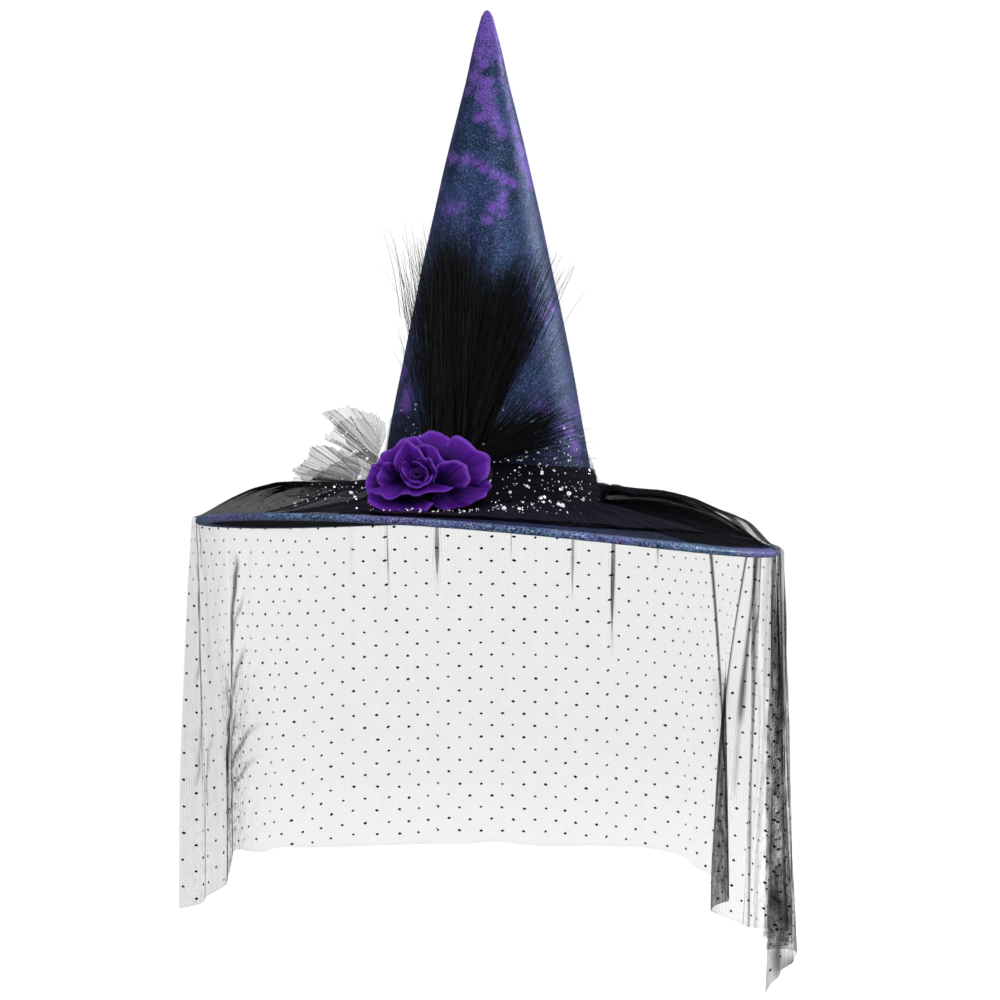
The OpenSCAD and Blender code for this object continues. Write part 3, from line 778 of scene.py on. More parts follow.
def curve(knots, t):
    """A smooth line through knots. t runs from 0 to their count less one."""
    knots = np.asarray(knots, float)
    line = np.concatenate([[2 * knots[0] - knots[1]], knots, [2 * knots[-1] - knots[-2]]])
    i = np.clip(t.astype(int), 0, len(knots) - 2)
    f = (t - i)[:, None]
    a, b, c, d = (line[i + k] for k in range(4))
    square, cube = 2 * a - 5 * b + 4 * c - d, 3 * b - a - 3 * c + d
    return 0.5 * (2 * b + (c - a) * f + square * f ** 2 + cube * f ** 3)


def lookup(grid, row, column):
    """Values between the points of a grid."""
    r = np.clip(row.astype(int), 0, grid.shape[0] - 2)
    c = np.clip(column.astype(int), 0, grid.shape[1] - 2)
    down, across = (row - r)[:, None], (column - c)[:, None]
    upper = grid[r, c] * (1 - across) + grid[r, c + 1] * across
    lower = grid[r + 1, c] * (1 - across) + grid[r + 1, c + 1] * across
    return upper * (1 - down) + lower * down


def lengths(points, axis):
    """How far along each line of a grid its points lie."""
    steps = np.linalg.norm(np.diff(points, axis=axis), axis=-1)
    return np.concatenate([np.zeros_like(np.take(steps, [0], axis)), np.cumsum(steps, axis)], axis)


def kinks(t, seed):
    """A small crooked wander, for creases."""
    return float(waves(np.array([16.0 * t]), 300 + seed, 4, 0.5, 1.8)[0])


def veil_columns(count=830):
    """Where the columns of the veil's grid lie among its stations, closest at the pleats, and how far along
    the flat net each one is."""
    dense = np.linspace(0, len(VEIL_STATIONS) - 1, 6000)
    laid = curve(VEIL_STATIONS, dense)
    rim_steps = np.linalg.norm(np.diff(polar(BRIM_R, laid[:, 0], 0)[:, :2], axis=0), axis=1)
    hem_steps = np.linalg.norm(np.diff(laid[:, 2:4] * MM, axis=0), axis=1)
    weight = np.maximum(rim_steps, hem_steps)
    for angle, width, *_ in VEIL_PLEATS:
        weight = weight + 2.2 * weight * bell(laid[1:, 0], angle, 3.2 * width)
    place = np.concatenate([[0], np.cumsum(weight)])
    flat_x = np.concatenate([[0], np.cumsum(np.maximum(rim_steps, 0.85 * hem_steps))])
    columns = np.interp(np.linspace(0, place[-1], count), place, dense)
    return columns, np.interp(columns, dense, flat_x)


def veil_over_brim(angle, rim, rim_radius):
    """Rows from the gathered edge at the crown to the rim, each as points, layers and crush."""
    arc = np.radians(angle) * 100
    gathers = waves(arc, 31, 7, 0.5, 1.4)
    rows = []
    for s in np.linspace(0, 1, 34):
        radius = GATHER_R + (rim_radius - GATHER_R) * s
        puff = (26.5 + 3.0 * np.cos(np.radians(angle - 120))) * np.interp(s, *np.array(VEIL_HUMP).T)
        puff = puff + 8.5 * bell(s, 0.86, 0.11) * (1 - smooth(angle, 40, 95))
        puff = puff + gathers * (0.4 + 2.3 * (1 - s) ** 1.5) * (1 - s ** 8)
        puff = puff + 1.1 * waves(arc / 7 + 4 * s, 32, 4, 0.6, 1.5) * np.sin(np.pi * s)
        base = brim_top(radius, angle) * (1 - s ** 6) + rim * s ** 6
        points = polar(radius, angle, base + (1.2 + np.maximum(puff, 0.4) * (1 - s ** 12)) * MM)
        layers = 3.4 + 8 * smooth(angle, 90, 150) + 2.2 * (1 - s) ** 1.5 + 0.7 * gathers * (1 - s)
        rows.append((points, layers, np.full_like(angle, 0.3)))
    return rows


def veil_over_rim(angle, rim, rim_radius, shoulder):
    """Rows that turn down over the edge, in a rounder bend where the veil is bunched."""
    bend = (2.6 + 2.2 * shoulder) * MM
    rows = []
    for turn in np.radians((30, 60, 90)):
        height = rim + (1.2 + 0.8 * shoulder) * MM - bend * (1 - np.cos(turn))
        points = polar(rim_radius + bend * np.sin(turn), angle, height)
        rows.append((points, np.full_like(angle, 1.6), np.full_like(angle, 0.2)))
    return rows


def veil_layers(t, columns, flat_x, crinkle):
    """How many layers of net seem to lie on each other in the row at the share t of the drop."""
    at_left = 1 - smooth(columns, 3.5, 6)
    layers = 1 + 0.10 * crinkle * (at_left + 0.3) * smooth(t, 0, 0.15)
    layers = layers + (0.9 + np.maximum(crinkle, -0.8)) * smooth(columns, 22.4, 23.2)
    layers = layers + 0.8 * (1 - smooth(columns, 2.5, 4.5))
    # Painted shade: a broad soft band on the left of the drop, drawn as extra layers of net
    layers = layers + 1.1 * smooth(t, 0.3, 0.7) * bell(columns, 4.3, 1.2)
    streaks = waves(flat_x * 330 + 2.2 * np.sin(9 * t), 38, 6, 0.5, 1.6)
    layers = layers + 1.3 * smooth(columns, 22.2, 23) * streaks + 0.5 * (1 - smooth(t, 0, 0.03))
    for number, (width, dark, way) in enumerate(VEIL_CREASES):
        down, stations = np.array(way).T
        held = smooth(t, down[0], down[0] + 0.08) * (1 - smooth(t, down[-1] - 0.08, down[-1]))
        centre = np.interp(t, down, stations)
        if centre < 8:
            centre = centre + 0.10 * kinks(t, number) + 0.04 * kinks(3.1 * t, number + 40)
        layers = layers + dark * held * bell(columns, centre, width)
    patch = 0.5 + 0.5 * waves(flat_x * 230 + 17 * t + 1.5 * np.sin(31 * t), 39, 6, 0.5, 1.8)
    crumpled = smooth(t, 0.15, 0.5) * (smooth(columns, 22.6, 23.4) + 0.7 * bell(columns, 18, 0.9))
    uneven = 0.45 * np.clip(0.3 - patch, 0, 1) - 0.78 * np.clip(patch, 0, 1)
    return layers * (1 + crumpled * uneven)


def veil_drop(laid, columns, flat_x, top):
    """Rows from the rim down to the hem, with ripples, crinkles and pleats."""
    angle = laid[:, 0]
    tangent, outward = polar(1, angle + 90, 0), polar(1, angle, 0)
    ripple = waves(flat_x * 110, 33, 5, 0.5, 1.3)
    crinkle = waves(flat_x * 520, 34, 7, 0.5, 1.4)
    rough = 0.22 + 0.15 * (1 - smooth(columns, 3.5, 6)) + 0.6 * smooth(columns, 17, 24)
    late = smooth(columns, 19, 21.5)[:, None]
    rows = []
    for t in np.linspace(0, 1, 84)[1:]:
        share = (1 - (1 - t) ** 1.8) * (1 - late) + t ** 1.3 * late
        points = top.copy()
        points[:, :2] += (laid[:, 2:4] * MM - top[:, :2]) * share
        points[:, 2] += (laid[:, 4] * MM - top[:, 2]) * t
        small = crinkle + waves(flat_x * 300 + 9 * t, 35, 5, 0.5, 1.5)
        sway = 2.4 * ripple * smooth(t, 0, 0.5) + rough * small * smooth(t, 0, 0.2)
        points += outward * sway[:, None] * MM
        points[:, 2] += 1.3 * MM * waves(flat_x * 60, 36, 4, 0.5, 1.4) * t ** 3
        layers = veil_layers(t, columns, flat_x, crinkle)
        for centre, width, pull, depth, end, dark in VEIL_PLEATS:
            x = (angle - centre) / (width * (1 - 0.5 * min(t / end, 1)))
            fade = 1 - smooth(t, 0.35 * end, end)
            taut = 0.35 + 0.65 * smooth(t, 0, 0.5 * end)
            points += (-pull * tangent + depth * outward) * (fade * x * np.exp(-x * x / 2))[:, None] * MM
            layers = layers + dark * taut * fade * np.exp(-x * x / 1.6)
        crush = sum(strength * smooth(t, start, start + 0.25) * bell(columns, centre, width)
                    for centre, width, strength, start in VEIL_CRUSH)
        rows.append((points, layers, crush))
    return rows


def veil_grid():
    """The veil: gathered at the crown, puffed over the brim, over the rim and down to its hem."""
    columns, flat_x = veil_columns()
    laid = curve(VEIL_STATIONS, columns)
    angle = laid[:, 0]
    shoulder = 1 - smooth(angle, 4, 24)
    rim = edge_height(angle) + BRIM_T / 2 + 0.9 * MM
    rim_radius = BRIM_R + (0.6 + laid[:, 1] - 3.6 * shoulder) * MM
    rows = veil_over_brim(angle, rim, rim_radius) + veil_over_rim(angle, rim, rim_radius, shoulder)
    rows += veil_drop(laid, columns, flat_x, rows[-1][0])
    points, layers, crush = (np.array(part) for part in zip(*rows))
    layers[-1] += 0.3
    return points, layers, crush, flat_x


def make_veil():
    points, layers, crush, flat_x = veil_grid()
    flat_y = lengths(points, 0)
    flat = np.stack([np.broadcast_to(flat_x, flat_y.shape), flat_y], -1)
    veil = piece("dotted_veil", points, grid_faces(*layers.shape), veil_net, ["veil"], flat,
                 {"layers": np.maximum(layers, 0.5), "crush": crush})
    dots = make_dots(points, flat_x, flat_y)


def make_dots(points, flat_x, flat_y):
    """Flocked dots in staggered rows, laid out on the flat net and carried along by its folds."""
    chance = np.random.default_rng(7)
    pitch, row_height = 21.5 * MM, 11.6 * MM
    width, depth, extra = flat_x[-1], flat_y[-1].min(), np.ptp(flat_y[-1])
    places = [((i + 0.5 * (j % 2)) * pitch + 4 * MM, depth - (j + 0.6) * row_height)
              for j in range(-int(extra / row_height), int(depth / row_height))
              for i in range(int(width / pitch) + 1)]
    places = np.array(places) + chance.normal(0, 0.35 * MM, (len(places), 2))
    hem = np.interp(places[:, 0], flat_x, flat_y[-1])
    inside = (places[:, 0] < width - 2 * MM) & (places[:, 0] > 2 * MM) & (places[:, 1] < hem - 3 * MM)
    places = places[inside]
    size = chance.uniform(0.85, 1.15, len(places))[:, None]
    shape = np.array([(1.55, 0), (0.75, 0.8), (0, 1.05), (-0.75, 0.8), (-1.55, 0), (-0.75, -0.8),
                      (0, -1.05), (0.75, -0.8)]) * 1.14 * MM
    corners = (places[:, None] + shape[None] * size[:, None]).reshape(-1, 2)
    column = np.interp(corners[:, 0], flat_x, np.arange(len(flat_x)))
    nearest = np.clip(np.round(column).astype(int), 0, len(flat_x) - 1)
    row = np.array([np.interp(y, flat_y[:, c], np.arange(len(flat_y))) for y, c in
                    zip(corners[:, 1], nearest)])
    normals = normals_of(points)
    made = lookup(points, row, column) - 0.25 * MM * lookup(normals, row, column)
    faces = np.arange(len(corners)).reshape(-1, len(shape))
    return piece("veil_dots", made, faces, dot_flock)


def brim_cloth(name, low, high, columns, outer, height, folds, seed, material, layers,
               replaces=(), inner=104.4 * MM, edge=5):
    """A folded sheet that lies on the brim round the crown. height(s, angle) is in mm."""
    s = np.linspace(0, 1, 44)[:, None]
    angle = np.linspace(low, high, columns)[None]
    arc = np.radians(angle)
    edge_wave = edge * (waves(arc * 9, seed, 5, 0.5, 1.6) + 0.35 * waves(arc * 50, seed + 1, 4, 0.5, 1.5))
    radius = inner + (outer + edge_wave * MM - inner) * s
    twist = arc + 0.10 * waves(s * 3 + arc, seed + 5, 3, 0.5, 1.2)
    pleats = waves(twist * 34, seed + 2, 6, 0.5, 1.5) * (0.35 + 0.65 * np.sin(np.pi * s ** 0.8))
    fine = waves(twist * 120 + 3 * s, seed + 3, 5, 0.6, 1.5)
    heap = height(s, angle)
    rise = heap + folds * (pleats + 0.35 * fine) * (0.5 + 0.5 * smooth(heap, 0, 12))
    points = polar(radius, angle, brim_top(radius, angle) + (1.4 + np.maximum(rise, 0.2)) * MM)
    place = np.stack(np.broadcast_arrays(arc * 0.42, s * 0.2), -1)
    thick = layers(s, angle) * (1 + 0.175 * fine - 0.25 * pleats)
    made = piece(name, points, grid_faces(*thick.shape), material, replaces, place,
                 {"layers": np.maximum(thick, 0.15)})
    return points


def make_back_tulle():
    def outer_height(s, angle):
        return 23.5 * np.interp(s, *np.array(VEIL_HUMP).T) * smooth(angle, -14, 6) - 1.5 * s

    def inner_height(s, angle):
        return 15 * np.sin(np.pi * (0.15 + 0.85 * s)) ** 0.8 * smooth(angle, -20, 8)

    brim_cloth("back_tulle_outer", -42, 128, 520, 246 * MM, outer_height, 1.3, 41,
               black_tulle, lambda s, angle: 1.6 - 0.3 * smooth(s, 0.3, 0.9) + 0 * angle,
               ["back_tulle"], edge=3)
    brim_cloth("back_tulle_inner", -46, 120, 500, 238 * MM, inner_height, 1.6, 51,
               black_tulle, lambda s, angle: 1.9 - 0.3 * s + 0 * angle,
               edge=3)


def make_front_tulle():
    def lift(angle):
        return np.interp(angle, [186, 200, 220, 232, 262, 275, 300, 336], [26, 31, 30, 1, 0.5, 8, 10, 8])

    def outer_height(s, angle):
        return lift(angle) * (1 - s) ** 1.15 + 2.2

    def inner_height(s, angle):
        return 0.5 * lift(angle) * (1 - s) ** 1.3 + 0.8

    over = brim_cloth("front_tulle_outer", 188, 336, 460, 199 * MM, outer_height, 1.7, 61,
                      glitter_tulle,
                      lambda s, angle: 1.6 + 0.5 * smooth(angle, 215, 250) + 0 * s,
                      ["front_tulle"], edge=4)
    brim_cloth("front_tulle_inner", 192, 338, 400, 201 * MM, inner_height, 1.0, 71,
               black_tulle, lambda s, angle: 1.9 + 0 * angle + 0 * s, edge=4)
    return over


def band_grid(low, high, lift, drop, seed, ruch, columns=720, rows=46):
    """A band gathered into soft level folds round the foot of the crown: points, flat places and folds.
    low and high give its edges in mm; lift is how far it stands off, and drop how much less at its top."""
    angle = np.linspace(0, 360, columns + 1)[None, :-1]
    v = np.linspace(0, 1, rows)[:, None]
    bottom, top = low(angle), high(angle)
    z = (bottom + (top - bottom) * v) * MM
    turn = np.radians(angle)
    level = v * 3.3 + 0.35 * np.sin(turn * 2 + seed) + 0.22 * np.sin(turn * 3 + 2 * seed)
    folds = waves(level * 9, seed, 5, 0.6, 1.6) + 0.4 * waves(level * 30 + 2 * turn, seed + 1, 4, 0.5, 1.4)
    ends = np.minimum(smooth(v, 0, 0.08), smooth(1 - v, 0, 0.08))
    off = lift + 2.5 * (1 - smooth(z, 15 * MM, 55 * MM)) - drop * smooth(z, 40 * MM, 56 * MM)
    off = off + ruch * folds * (0.35 + 0.65 * ends)
    radius = crown_radius(np.maximum(z, CROWN[0, 0])) + off * MM
    return polar(radius, angle, z), np.stack(np.broadcast_arrays(turn * 0.1, z), -1), folds


def make_band():
    def band_top(angle):
        uneven = 1.2 * waves(np.radians(angle) * 3, 81, 3, 0.6, 1.4)
        return 48 + 5 * np.cos(np.radians(angle - 215)) + uneven

    def over_top(angle):
        uneven = 1.5 * waves(np.radians(angle) * 4, 82, 3, 0.6, 1.4)
        return 74 + 20 * np.cos(np.radians(angle - 206)) + uneven

    points, flat, folds = band_grid(lambda a: 5 + 0 * a, band_top, 2.6, 0, 83, 0.55)
    under = piece("band_tulle", points, grid_faces(*folds.shape, ring=True), black_tulle,
                  ["hat_band"], flat, {"layers": 3.4 - 0.3 * folds})
    points, flat, folds = band_grid(lambda a: 7 + 0 * a, over_top, 3.7, 2.2, 86, 0.5)
    over = piece("band_glitter_tulle", points, grid_faces(*folds.shape, ring=True), glitter_tulle,
                 (), flat, {"layers": np.maximum(0.55 - 0.16 * folds, 0.2)})


# The crumpled ends of the tulle behind the rose, as x and z in mm: name, free edge, foot, depth, density,
# side of the square it is cut from in metres. Each corner of the edge is a fold
FAN_SHEETS = [
    ("over", [(-86.9, 83.5), (-92.9, 89.5), (-98.9, 92.1), (-109.3, 94.7), (-119.6, 98.2),
      (-130.8, 94.7), (-141.2, 93), (-135.1, 88.7), (-126.5, 77.5), (-120.5, 68.9), (-117.9, 61.1)],
     [(-86.9, 71.4), (-97.2, 47.3)], -52, 0.8, 0.058),
    ("upper", [(-91.2, 80.1), (-104.1, 87), (-117, 89.5), (-126.5, 85.2), (-132.6, 78.3),
      (-140.3, 70.6), (-128.2, 68.9), (-120.5, 64.5), (-130, 59.4), (-123.1, 50.8)],
     [(-92, 59.4), (-98.9, 40.4)], -42, 0.75, 0.052),
    ("lower", [(-112.7, 59.4), (-126.5, 61.1), (-138.6, 64.5), (-149.8, 64), (-153.2, 54.2),
      (-159.3, 47.3), (-167, 43), (-159.3, 37.8), (-156.7, 30.9)],
     [(-107.6, 43.9), (-116.2, 25.8)], -56, 1.15, 0.056),
    ("lace", [(-142, 45.6), (-158.4, 41.3), (-168.8, 35.2), (-174.8, 26.6), (-172.2, 20.6), (-161, 18.9)],
     [(-116.2, 37), (-117.9, 20.6)], -46, 0.55, 0.050),
    ("heart", [(-104.1, 62.8), (-116.2, 55.9), (-128.2, 50.8), (-138.6, 43.9), (-150.7, 35.2),
      (-158.4, 26.6), (-161, 19.7)],
     [(-92, 54.2), (-98.9, 21.4)], -60, 2, 0.053)]


FAN_ROOT = np.array([-90, 42])


def along_line(t, knots):
    """Points on the straight stretches between knots. t runs from 0 to their count less one."""
    return np.stack([np.interp(t, np.arange(len(knots)), axis) for axis in np.array(knots, float).T], -1)


def make_fan():
    for number, (name, edge, foot, depth, density, side) in enumerate(FAN_SHEETS):
        seed = 90 + 5 * number
        chance = np.random.default_rng(seed)
        corners = len(edge)
        columns, rows = 26 * (corners - 1) + 1, 40
        along = np.linspace(0, corners - 1, columns)
        fray = [waves(along * 9, seed, 5, 0.5, 2), waves(along * 11, seed + 1, 5, 0.5, 2)]
        line = along_line(along, edge) + 0.9 * np.stack(fray, -1)
        root = along_line(along / (corners - 1), foot)
        to_fold = np.abs(along - np.round(along))
        turned = np.where(np.round(along) % 2 == 0, 0.5 - to_fold, to_fold - 0.5)
        v = np.linspace(0, 1, rows)[:, None]
        spread = root[None] + (line - root)[None] * v[..., None]
        bulge = waves(along * 2.2, seed + 3, 3, 0.5, 1.5)[None] * np.sin(np.pi * v)
        flutter = waves(along * 4, seed + 2, 4, 0.5, 2)[None]
        y = depth + (11 * turned[None] - 4 + flutter) * v + 3.5 * bulge
        points = np.stack([spread[..., 0], y, spread[..., 1] + 1.2 * bulge], -1) * MM
        sharp = np.where(chance.uniform(0, 1, corners) < 0.42, 4.2, 0.0)[np.round(along).astype(int)]
        crease = (sharp * np.exp(-(to_fold / 0.042) ** 2))[None]
        panels = np.repeat(chance.uniform(0.25, 1.6, corners), 26)[:columns]
        layers = density * (panels[None] + 2.6 * crease * (1 - 0.35 * v) + 0.9 * (1 - v) ** 2) \
            + 0.7 * smooth(v, 0.97, 1) + 0.12 * waves(along * 3 + 5 * v, seed + 4, 5, 0.5, 2)
        made = piece("fan_tulle_" + name, points, grid_faces(rows, columns), fan_tulle,
                     ["tulle_fan"] if number == 0 else (), points[..., [0, 2]],
                     {"layers": np.maximum(layers, 0.15)})


# ---- Glitter ----

# Where flakes lie on the band and the foot of the crown: middle and spread in degrees, lowest and highest
# place in mm, count. They are thickest to the right of the rose
CROWN_GLITTER = [
    (303, 15, 8, 62, 95), (322, 10, 10, 74, 50), (288, 12, 26, 66, 60), (296, 18, 60, 100, 26),
    (216, 10, 40, 100, 22), (228, 12, 66, 108, 10), (180, 60, 12, 60, 50), (60, 60, 12, 60, 60)]


def flake_sizes(chance, count):
    """Radii in metres: most are dust, a few are large flakes."""
    return np.minimum(0.34 + 0.34 * chance.pareto(2.2, count), 2.0) * MM


def make_glitter(front_cloth):
    chance = np.random.default_rng(101)
    centres, normals = [], []
    for middle, spread, low, high, count in CROWN_GLITTER:
        angle = chance.normal(middle, spread, count)
        z = chance.uniform(low, high, count) * MM
        lift = np.where(z < 74 * MM, 5.6, 1.2) * MM
        centres.append(polar(crown_radius(z) + lift, angle, z))
        normals.append(polar(1, angle, 0.2) + chance.normal(0, 0.25, (count, 3)))
    # On the tulle over the front of the brim
    count = 160
    row = chance.uniform(3, 30, count)
    column = chance.uniform(2, 0.76 * front_cloth.shape[1], count)
    centres.append(lookup(front_cloth, row, column) + chance.uniform(0.6, 1.6, (count, 1)) * [0, 0, MM])
    normals.append(chance.normal(0, 0.4, (count, 3)) + [0, -0.9, 0.5])
    # On the fan, near its root
    count = 110
    away = chance.uniform(0.08, 0.85, (count, 1)) ** 0.8
    edges = np.concatenate([np.array(edge, float) for _, edge, *_ in FAN_SHEETS])
    edge = edges[chance.integers(0, len(edges), count)]
    flat = FAN_ROOT * (1 - away) + edge * away + chance.normal(0, 3, (count, 2))
    centres.append(np.stack([flat[:, 0], -62 + chance.normal(0, 2, count), flat[:, 1]], -1) * MM)
    normals.append(chance.normal(0, 0.4, (count, 3)) + [0, -1, 0.1])
    centres, normals = np.concatenate(centres), np.concatenate(normals)
    normals /= np.linalg.norm(normals, axis=1, keepdims=True)
    points, faces = discs(centres, normals, flake_sizes(chance, len(centres)), 7, 102)
    piece("glitter", points, faces, silver_painted_glow)


# ---- Rose ----

# Petals from the back to the front: group, edge from its left end to its right one, foot, depth of
# the foot and of the edge, roll of the lip in mm. The flat places are across and up, in mm
PETALS = [
    ("outer", [(-19, 23), (-9, 31), (0, 35), (8, 38.6), (18.5, 36), (26, 30), (31, 21)], (6, 6), 12, 9, 2.0),
    ("outer", [(22, 27), (28.5, 33), (36, 33), (44, 26), (53, 21), (59, 14), (60, 7), (57, -2), (51, -8)],
     (16, -3), 9, 12, 2.4),
    ("outer", [(60, -3), (60.5, -10), (55, -17), (46, -23), (35, -27), (24, -27.5), (15, -27), (6, -25)],
     (16, -11), 9, 11, 1.6),
    ("outer", [(-41, -17), (-42, -22), (-37, -26), (-30, -29), (-25, -34), (-14, -36), (-4, -35.5),
               (6, -31), (13, -24)], (-5, -13), 9, 23, 1.5),
    ("outer", [(-30, -26), (-41, -19), (-45, -9), (-44, 2), (-38, 9), (-29, 12), (-19, 10)],
     (-16, -9), 9, 15, 1.8),
    ("outer", [(-37, 6), (-35, 14), (-29, 21), (-20, 26), (-11, 32), (-3, 33), (4, 28)],
     (-8, -1), 12, 15, 2.0),
    ("middle", [(-3, 25), (8, 26), (16, 21), (22, 13), (23, 3)], (8, -7), 14, 20, 1.6),
    ("middle", [(-30, -11), (-34, -1), (-31, 8), (-24, 11), (-17, 8)], (-13, -9), 13, 21, 1.4),
    ("middle", [(42, -11), (45, -1), (42, 8), (36.5, 11), (28.5, 12.6), (21, 11), (16, 7)],
     (13, -11), 13, 25, 2.6),
    ("middle", [(-41, -12.6), (-36, -15), (-30, -17), (-22, -21), (-13, -17), (-8, -16), (0, -18.5),
                (8, -15), (23, -14), (31, -11)], (-3, -2), 15, 27, 1.2),
    ("middle", [(-18.5, 4), (-17.6, 14), (-15, 23), (-8.4, 28.6), (-1.7, 26), (4, 18.5), (11, 12)],
     (-3, -7), 15, 27, 2.2),
    ("inner", [(-16, 8), (-12, -3), (-6, -9), (3, -11), (10, -8), (14, 0)], (-1, -1), 16, 28, 0.8),
    ("inner", [(15, -6), (17, 3), (14, 11), (7, 15), (0, 14)], (3, 0), 15, 27, 1.0),
    ("inner", [(-9, 12), (-11, 5), (-8, -3), (-2, -7), (6, -7)], (0, 1), 17, 29, 0.6),
    ("inner", [(-4, 11), (4, 10), (9, 5), (10, -2), (7, -6)], (1, 1), 17, 28, 0.6)]


def rose_frame():
    """The rose's middle and its axes: across, up and out."""
    out = Vector((np.cos(np.radians(262)), np.sin(np.radians(262)), 0.06)).normalized()
    across = Vector((-out.y, out.x, 0)).normalized()
    up = out.cross(across)
    middle = Vector((-0.0549, -0.0905, 0.0373))
    return np.array(middle), np.array(across), np.array(up), np.array(out)


def petal_grid(edge, foot, foot_depth, edge_depth, roll, seed):
    """One petal: rises from its foot, spreads to its ruffled edge and rolls back at the lip."""
    corners = np.array(edge, float)
    columns = 56
    along = np.linspace(0, len(corners) - 1, columns)
    ruffle = [waves(along * 3, seed + 2, 4, 0.5, 1.5), waves(along * 3, seed + 4, 4, 0.5, 1.5)]
    line = curve(corners, along) + 0.7 * np.stack(ruffle, -1)
    foot = np.array(foot, float)
    start = foot[None] + 0.16 * (line - foot[None])
    v = np.linspace(0, 1, 26)[:, None]
    share = np.minimum(v / 0.84, 1.0)
    turn = np.radians(165) * np.clip((v - 0.80) / 0.20, 0, 1)
    across = (line - start) / np.linalg.norm(line - start, axis=1, keepdims=True)
    span = np.linalg.norm(line - start, axis=1)[None]
    u = along[None] / along[-1]
    reach = (span - roll) * np.minimum(v / 0.80, 1) + roll * np.sin(turn)
    flat = start[None] + across[None] * reach[..., None]
    rim = np.sin(np.pi * u) ** 0.4
    depth = foot_depth + (edge_depth - foot_depth) * share ** 1.25 - roll * (1 - np.cos(turn)) * rim
    depth = depth + 2.3 * np.sin(np.pi * u) * np.sin(np.pi * share)
    depth = depth + 2.3 * waves(u * 11, seed, 4, 0.5, 1.5) * share ** 2
    depth = depth + 0.28 * waves(u * 34 + 3 * v, seed + 1, 4, 0.5, 1.5) * share
    depth = depth - 2.6 * (2 * u - 1) ** 4
    # Painted shade fades out from the foot, and a painted highlight lies along the lip
    open_share = share ** 2.2 + 0 * u
    lip = smooth(v, 0.76, 0.84) * 0.7 + 0 * u
    uv = np.stack(np.broadcast_arrays(u * 0.03 + seed * 0.1, v * 0.03), -1)
    return flat, depth, open_share, lip, uv


def make_rose():
    middle, across, up, out = rose_frame()
    groups = {}
    for number, (group, edge, foot, foot_depth, edge_depth, roll) in enumerate(PETALS):
        seed = 200 + 3 * number
        flat, depth, open_share, lip, uv = petal_grid(edge, foot, foot_depth, edge_depth, roll, seed)
        points = middle + MM * (flat[..., :1] * across + flat[..., 1:] * up + depth[..., None] * out)
        groups.setdefault(group, []).append((points, open_share, lip, uv))
    turn = np.linspace(0, 2.6 * TAU, 150)[None]
    v = np.linspace(0, 1, 16)[:, None]
    radius = (1.0 + 3.6 * turn / turn.max()) * (0.8 + 0.35 * v ** 2)
    flat = np.stack([radius * np.cos(turn) * 1.15 + 0.5, radius * np.sin(turn) * 0.9 + 1], -1)
    depth = 15 + 11 * v + 1.2 * np.sin(turn * 1.3) * v
    points = middle + MM * (flat[..., :1] * across + flat[..., 1:] * up + depth[..., None] * out)
    # The bud lies mostly in painted shade, with a painted highlight along its top edge
    groups["bud"] = [(points, 0.35 * v + 0 * turn, 0.5 * smooth(v, 0.9, 1) + 0 * turn,
                      np.stack(np.broadcast_arrays(turn * 0.004, v * 0.02), -1))]
    nodes = {"outer": "rose_outer_petals", "middle": "rose_middle_petals", "inner": "rose_inner_petals",
             "bud": "rose_bud"}
    for group, grids in groups.items():
        faces, start = [], 0
        for points, *_ in grids:
            faces.append(grid_faces(*points.shape[:2], start=start))
            start += points.shape[0] * points.shape[1]
        made = piece("rose_petals_" + group, np.concatenate([g[0].reshape(-1, 3) for g in grids]),
                     np.concatenate(faces), petal_cloth, [nodes[group]],
                     np.concatenate([g[3].reshape(-1, 2) for g in grids]),
                     {"open": np.concatenate([g[1].ravel() for g in grids]),
                      "lip": np.concatenate([g[2].ravel() for g in grids])})
        thicken(made, 0.45 * MM, 0)


# ---- Feathers ----

PLUME_ROOT = (259, 57 * MM)
# name: feet across and their spread in mm, lean to the right, fan over the feet, bend, how far up the
# barbs start and their length in mm, spread at their feet and tips in degrees, count, height off the
# crown in mm, seed
PLUMES = {
    "plume_centre": (-14, 7, -1, 1.5, -1, 124, 92, 2.5, 3.0, 2100, (4, 17), 301),
    "plume_left": (-21, 6, -5, 2.5, -9, 134, 92, 2.5, 4.0, 480, (1, 8), 311),
    "plume_right": (-2, 6, 12, 4, 2, 112, 92, 3.0, 5.0, 1150, (1.5, 13), 321),
    "plume_right_wisps": (3, 6, 15, 4.5, 4, 122, 86, 2.0, 4.5, 400, (1.5, 6), 341),
    "plume_low": (6, 3, 62, 10, 2, 46, 62, 3.0, 3.0, 540, (4, 9), 331)}


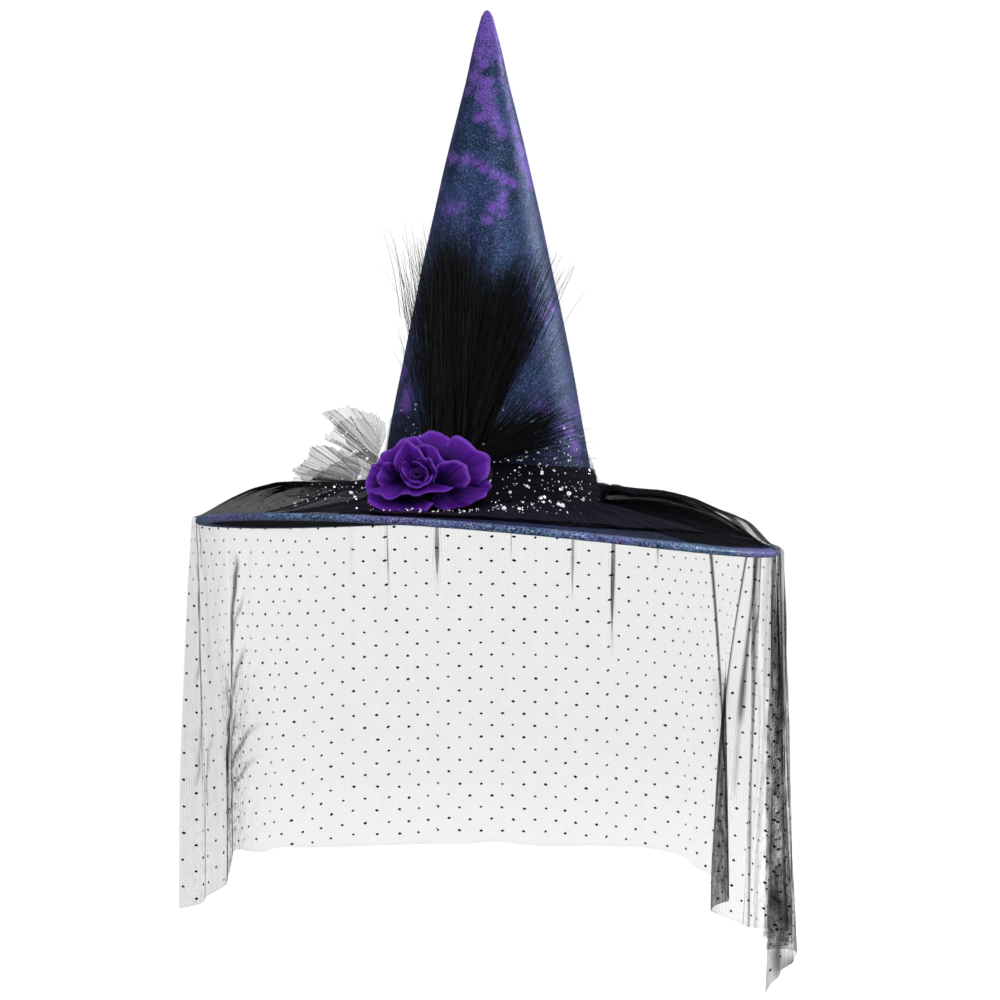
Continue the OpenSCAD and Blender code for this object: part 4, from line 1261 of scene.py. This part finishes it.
def make_plume(node, feet, foot_spread, lean, fan, bend, rise, barb, spread, tip_spread, count, lift, seed):
    """A plume of long loose barbs, each one a thin ribbon that leaves the quill and curves off it."""
    chance = np.random.default_rng(seed)
    place = chance.normal(0, 1, count)
    along = rise * chance.uniform(0, 1, count) ** 1.2
    reach = barb * chance.uniform(0.45, 1.0, count) ** 0.6
    steps = 10
    t = np.linspace(0, 1, steps)[None]
    lean_here = lean + fan * place + spread * chance.normal(0, 1, count)
    opening = bend * chance.uniform(0.2, 1.6, count) + tip_spread * chance.normal(0, 1, count)
    direction = np.radians(lean_here[:, None] + opening[:, None] * t ** 1.8)
    x = np.cumsum(np.sin(direction), 1) - np.sin(direction[:, :1])
    y = np.cumsum(np.cos(direction), 1) - np.cos(direction[:, :1])
    start = np.radians(lean + fan * place)
    x = x * reach[:, None] / (steps - 1) + (feet + foot_spread * place + along * np.sin(start))[:, None]
    y = y * reach[:, None] / (steps - 1) + (along * np.cos(start) - 8)[:, None]
    off = chance.uniform(*lift, (count, 1)) + 1.8 * chance.normal(0, 1, (count, 1)) * t ** 2
    angle, height = PLUME_ROOT
    slope = np.arctan2(CROWN[0, 1] - CROWN[-1, 1], CROWN[-1, 0] - CROWN[0, 0])
    tangent = polar(1.0, angle + 90, 0.0)
    up = polar(-np.sin(slope), angle, np.cos(slope))
    outward = polar(np.cos(slope), angle, np.sin(slope))
    root = polar(crown_radius(height), angle, height)
    path = root + MM * (x[..., None] * tangent + y[..., None] * up + np.abs(off)[..., None] * outward)
    radius = np.hypot(path[..., 0], path[..., 1])
    least = crown_radius(path[..., 2]) + np.maximum(np.abs(off), 0.8) * MM
    path[..., :2] *= np.maximum(1, least / radius)[..., None]
    run = np.gradient(path, axis=1)
    run /= np.linalg.norm(run, axis=-1, keepdims=True)
    facing = outward + chance.normal(0, 0.35, (count, 1, 3))
    wide = np.cross(run, facing)
    wide /= np.linalg.norm(wide, axis=-1, keepdims=True)
    half = (0.27 * (1 - 0.72 * t ** 1.2) * chance.uniform(0.7, 1.3, count)[:, None])[..., None] * MM
    points = np.stack([path - wide * half, path + wide * half], 2).reshape(-1, 3)
    index = np.arange(count * steps * 2).reshape(count, steps, 2)
    corners = [index[:, :-1, 0], index[:, :-1, 1], index[:, 1:, 1], index[:, 1:, 0]]
    faces = np.stack(corners, -1).reshape(-1, 4)
    tone = np.repeat(chance.uniform(0, 0.8, count), steps * 2) + np.tile(np.repeat(t[0] * 0.2, 2), count)
    piece(node + "_barbs", points, faces, barbs, () if node.endswith("wisps") else [node], None,
          {"strand": tone})


# ---- Finish ----

def finish_nodes():
    """Gives every carried-over node its material."""
    finishes = {
        "crown_stiffener": stiff_felt, "brim_stiffener": stiff_felt, "crown_lining": black_lining,
        "sweatband": grosgrain, "brim_wire": steel_wire, "wire_sleeve": crimp_metal, "veil_tape": twill_tape,
        "thread_tacks": black_thread, "rose_backing": black_felt, "feather_pad": black_felt,
        "rose_peg": green_stem, "feather_quills": dark_quill}
    for name, material in finishes.items():
        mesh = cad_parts[name].data
        mesh.materials.clear()
        mesh.materials.append(material)


make_camera()
make_light()
make_stage()
finish_nodes()
make_crown()
brim_sheet("brim_velvet_painted_shade", BRIM_IN, BRIM_R - 8 * MM, brim_velvet_painted_shade, "brim_cover", 0.25 * MM)
brim_sheet("brim_underside", BRIM_IN, BRIM_R - 8 * MM, black_lining, "brim_lining", 0.3 * MM)
make_binding()
make_stitches()
make_veil()
make_back_tulle()
front_cloth = make_front_tulle()
make_band()
make_fan()
make_glitter(front_cloth)
make_rose()
for plume, values in PLUMES.items():
    make_plume(plume, *values)
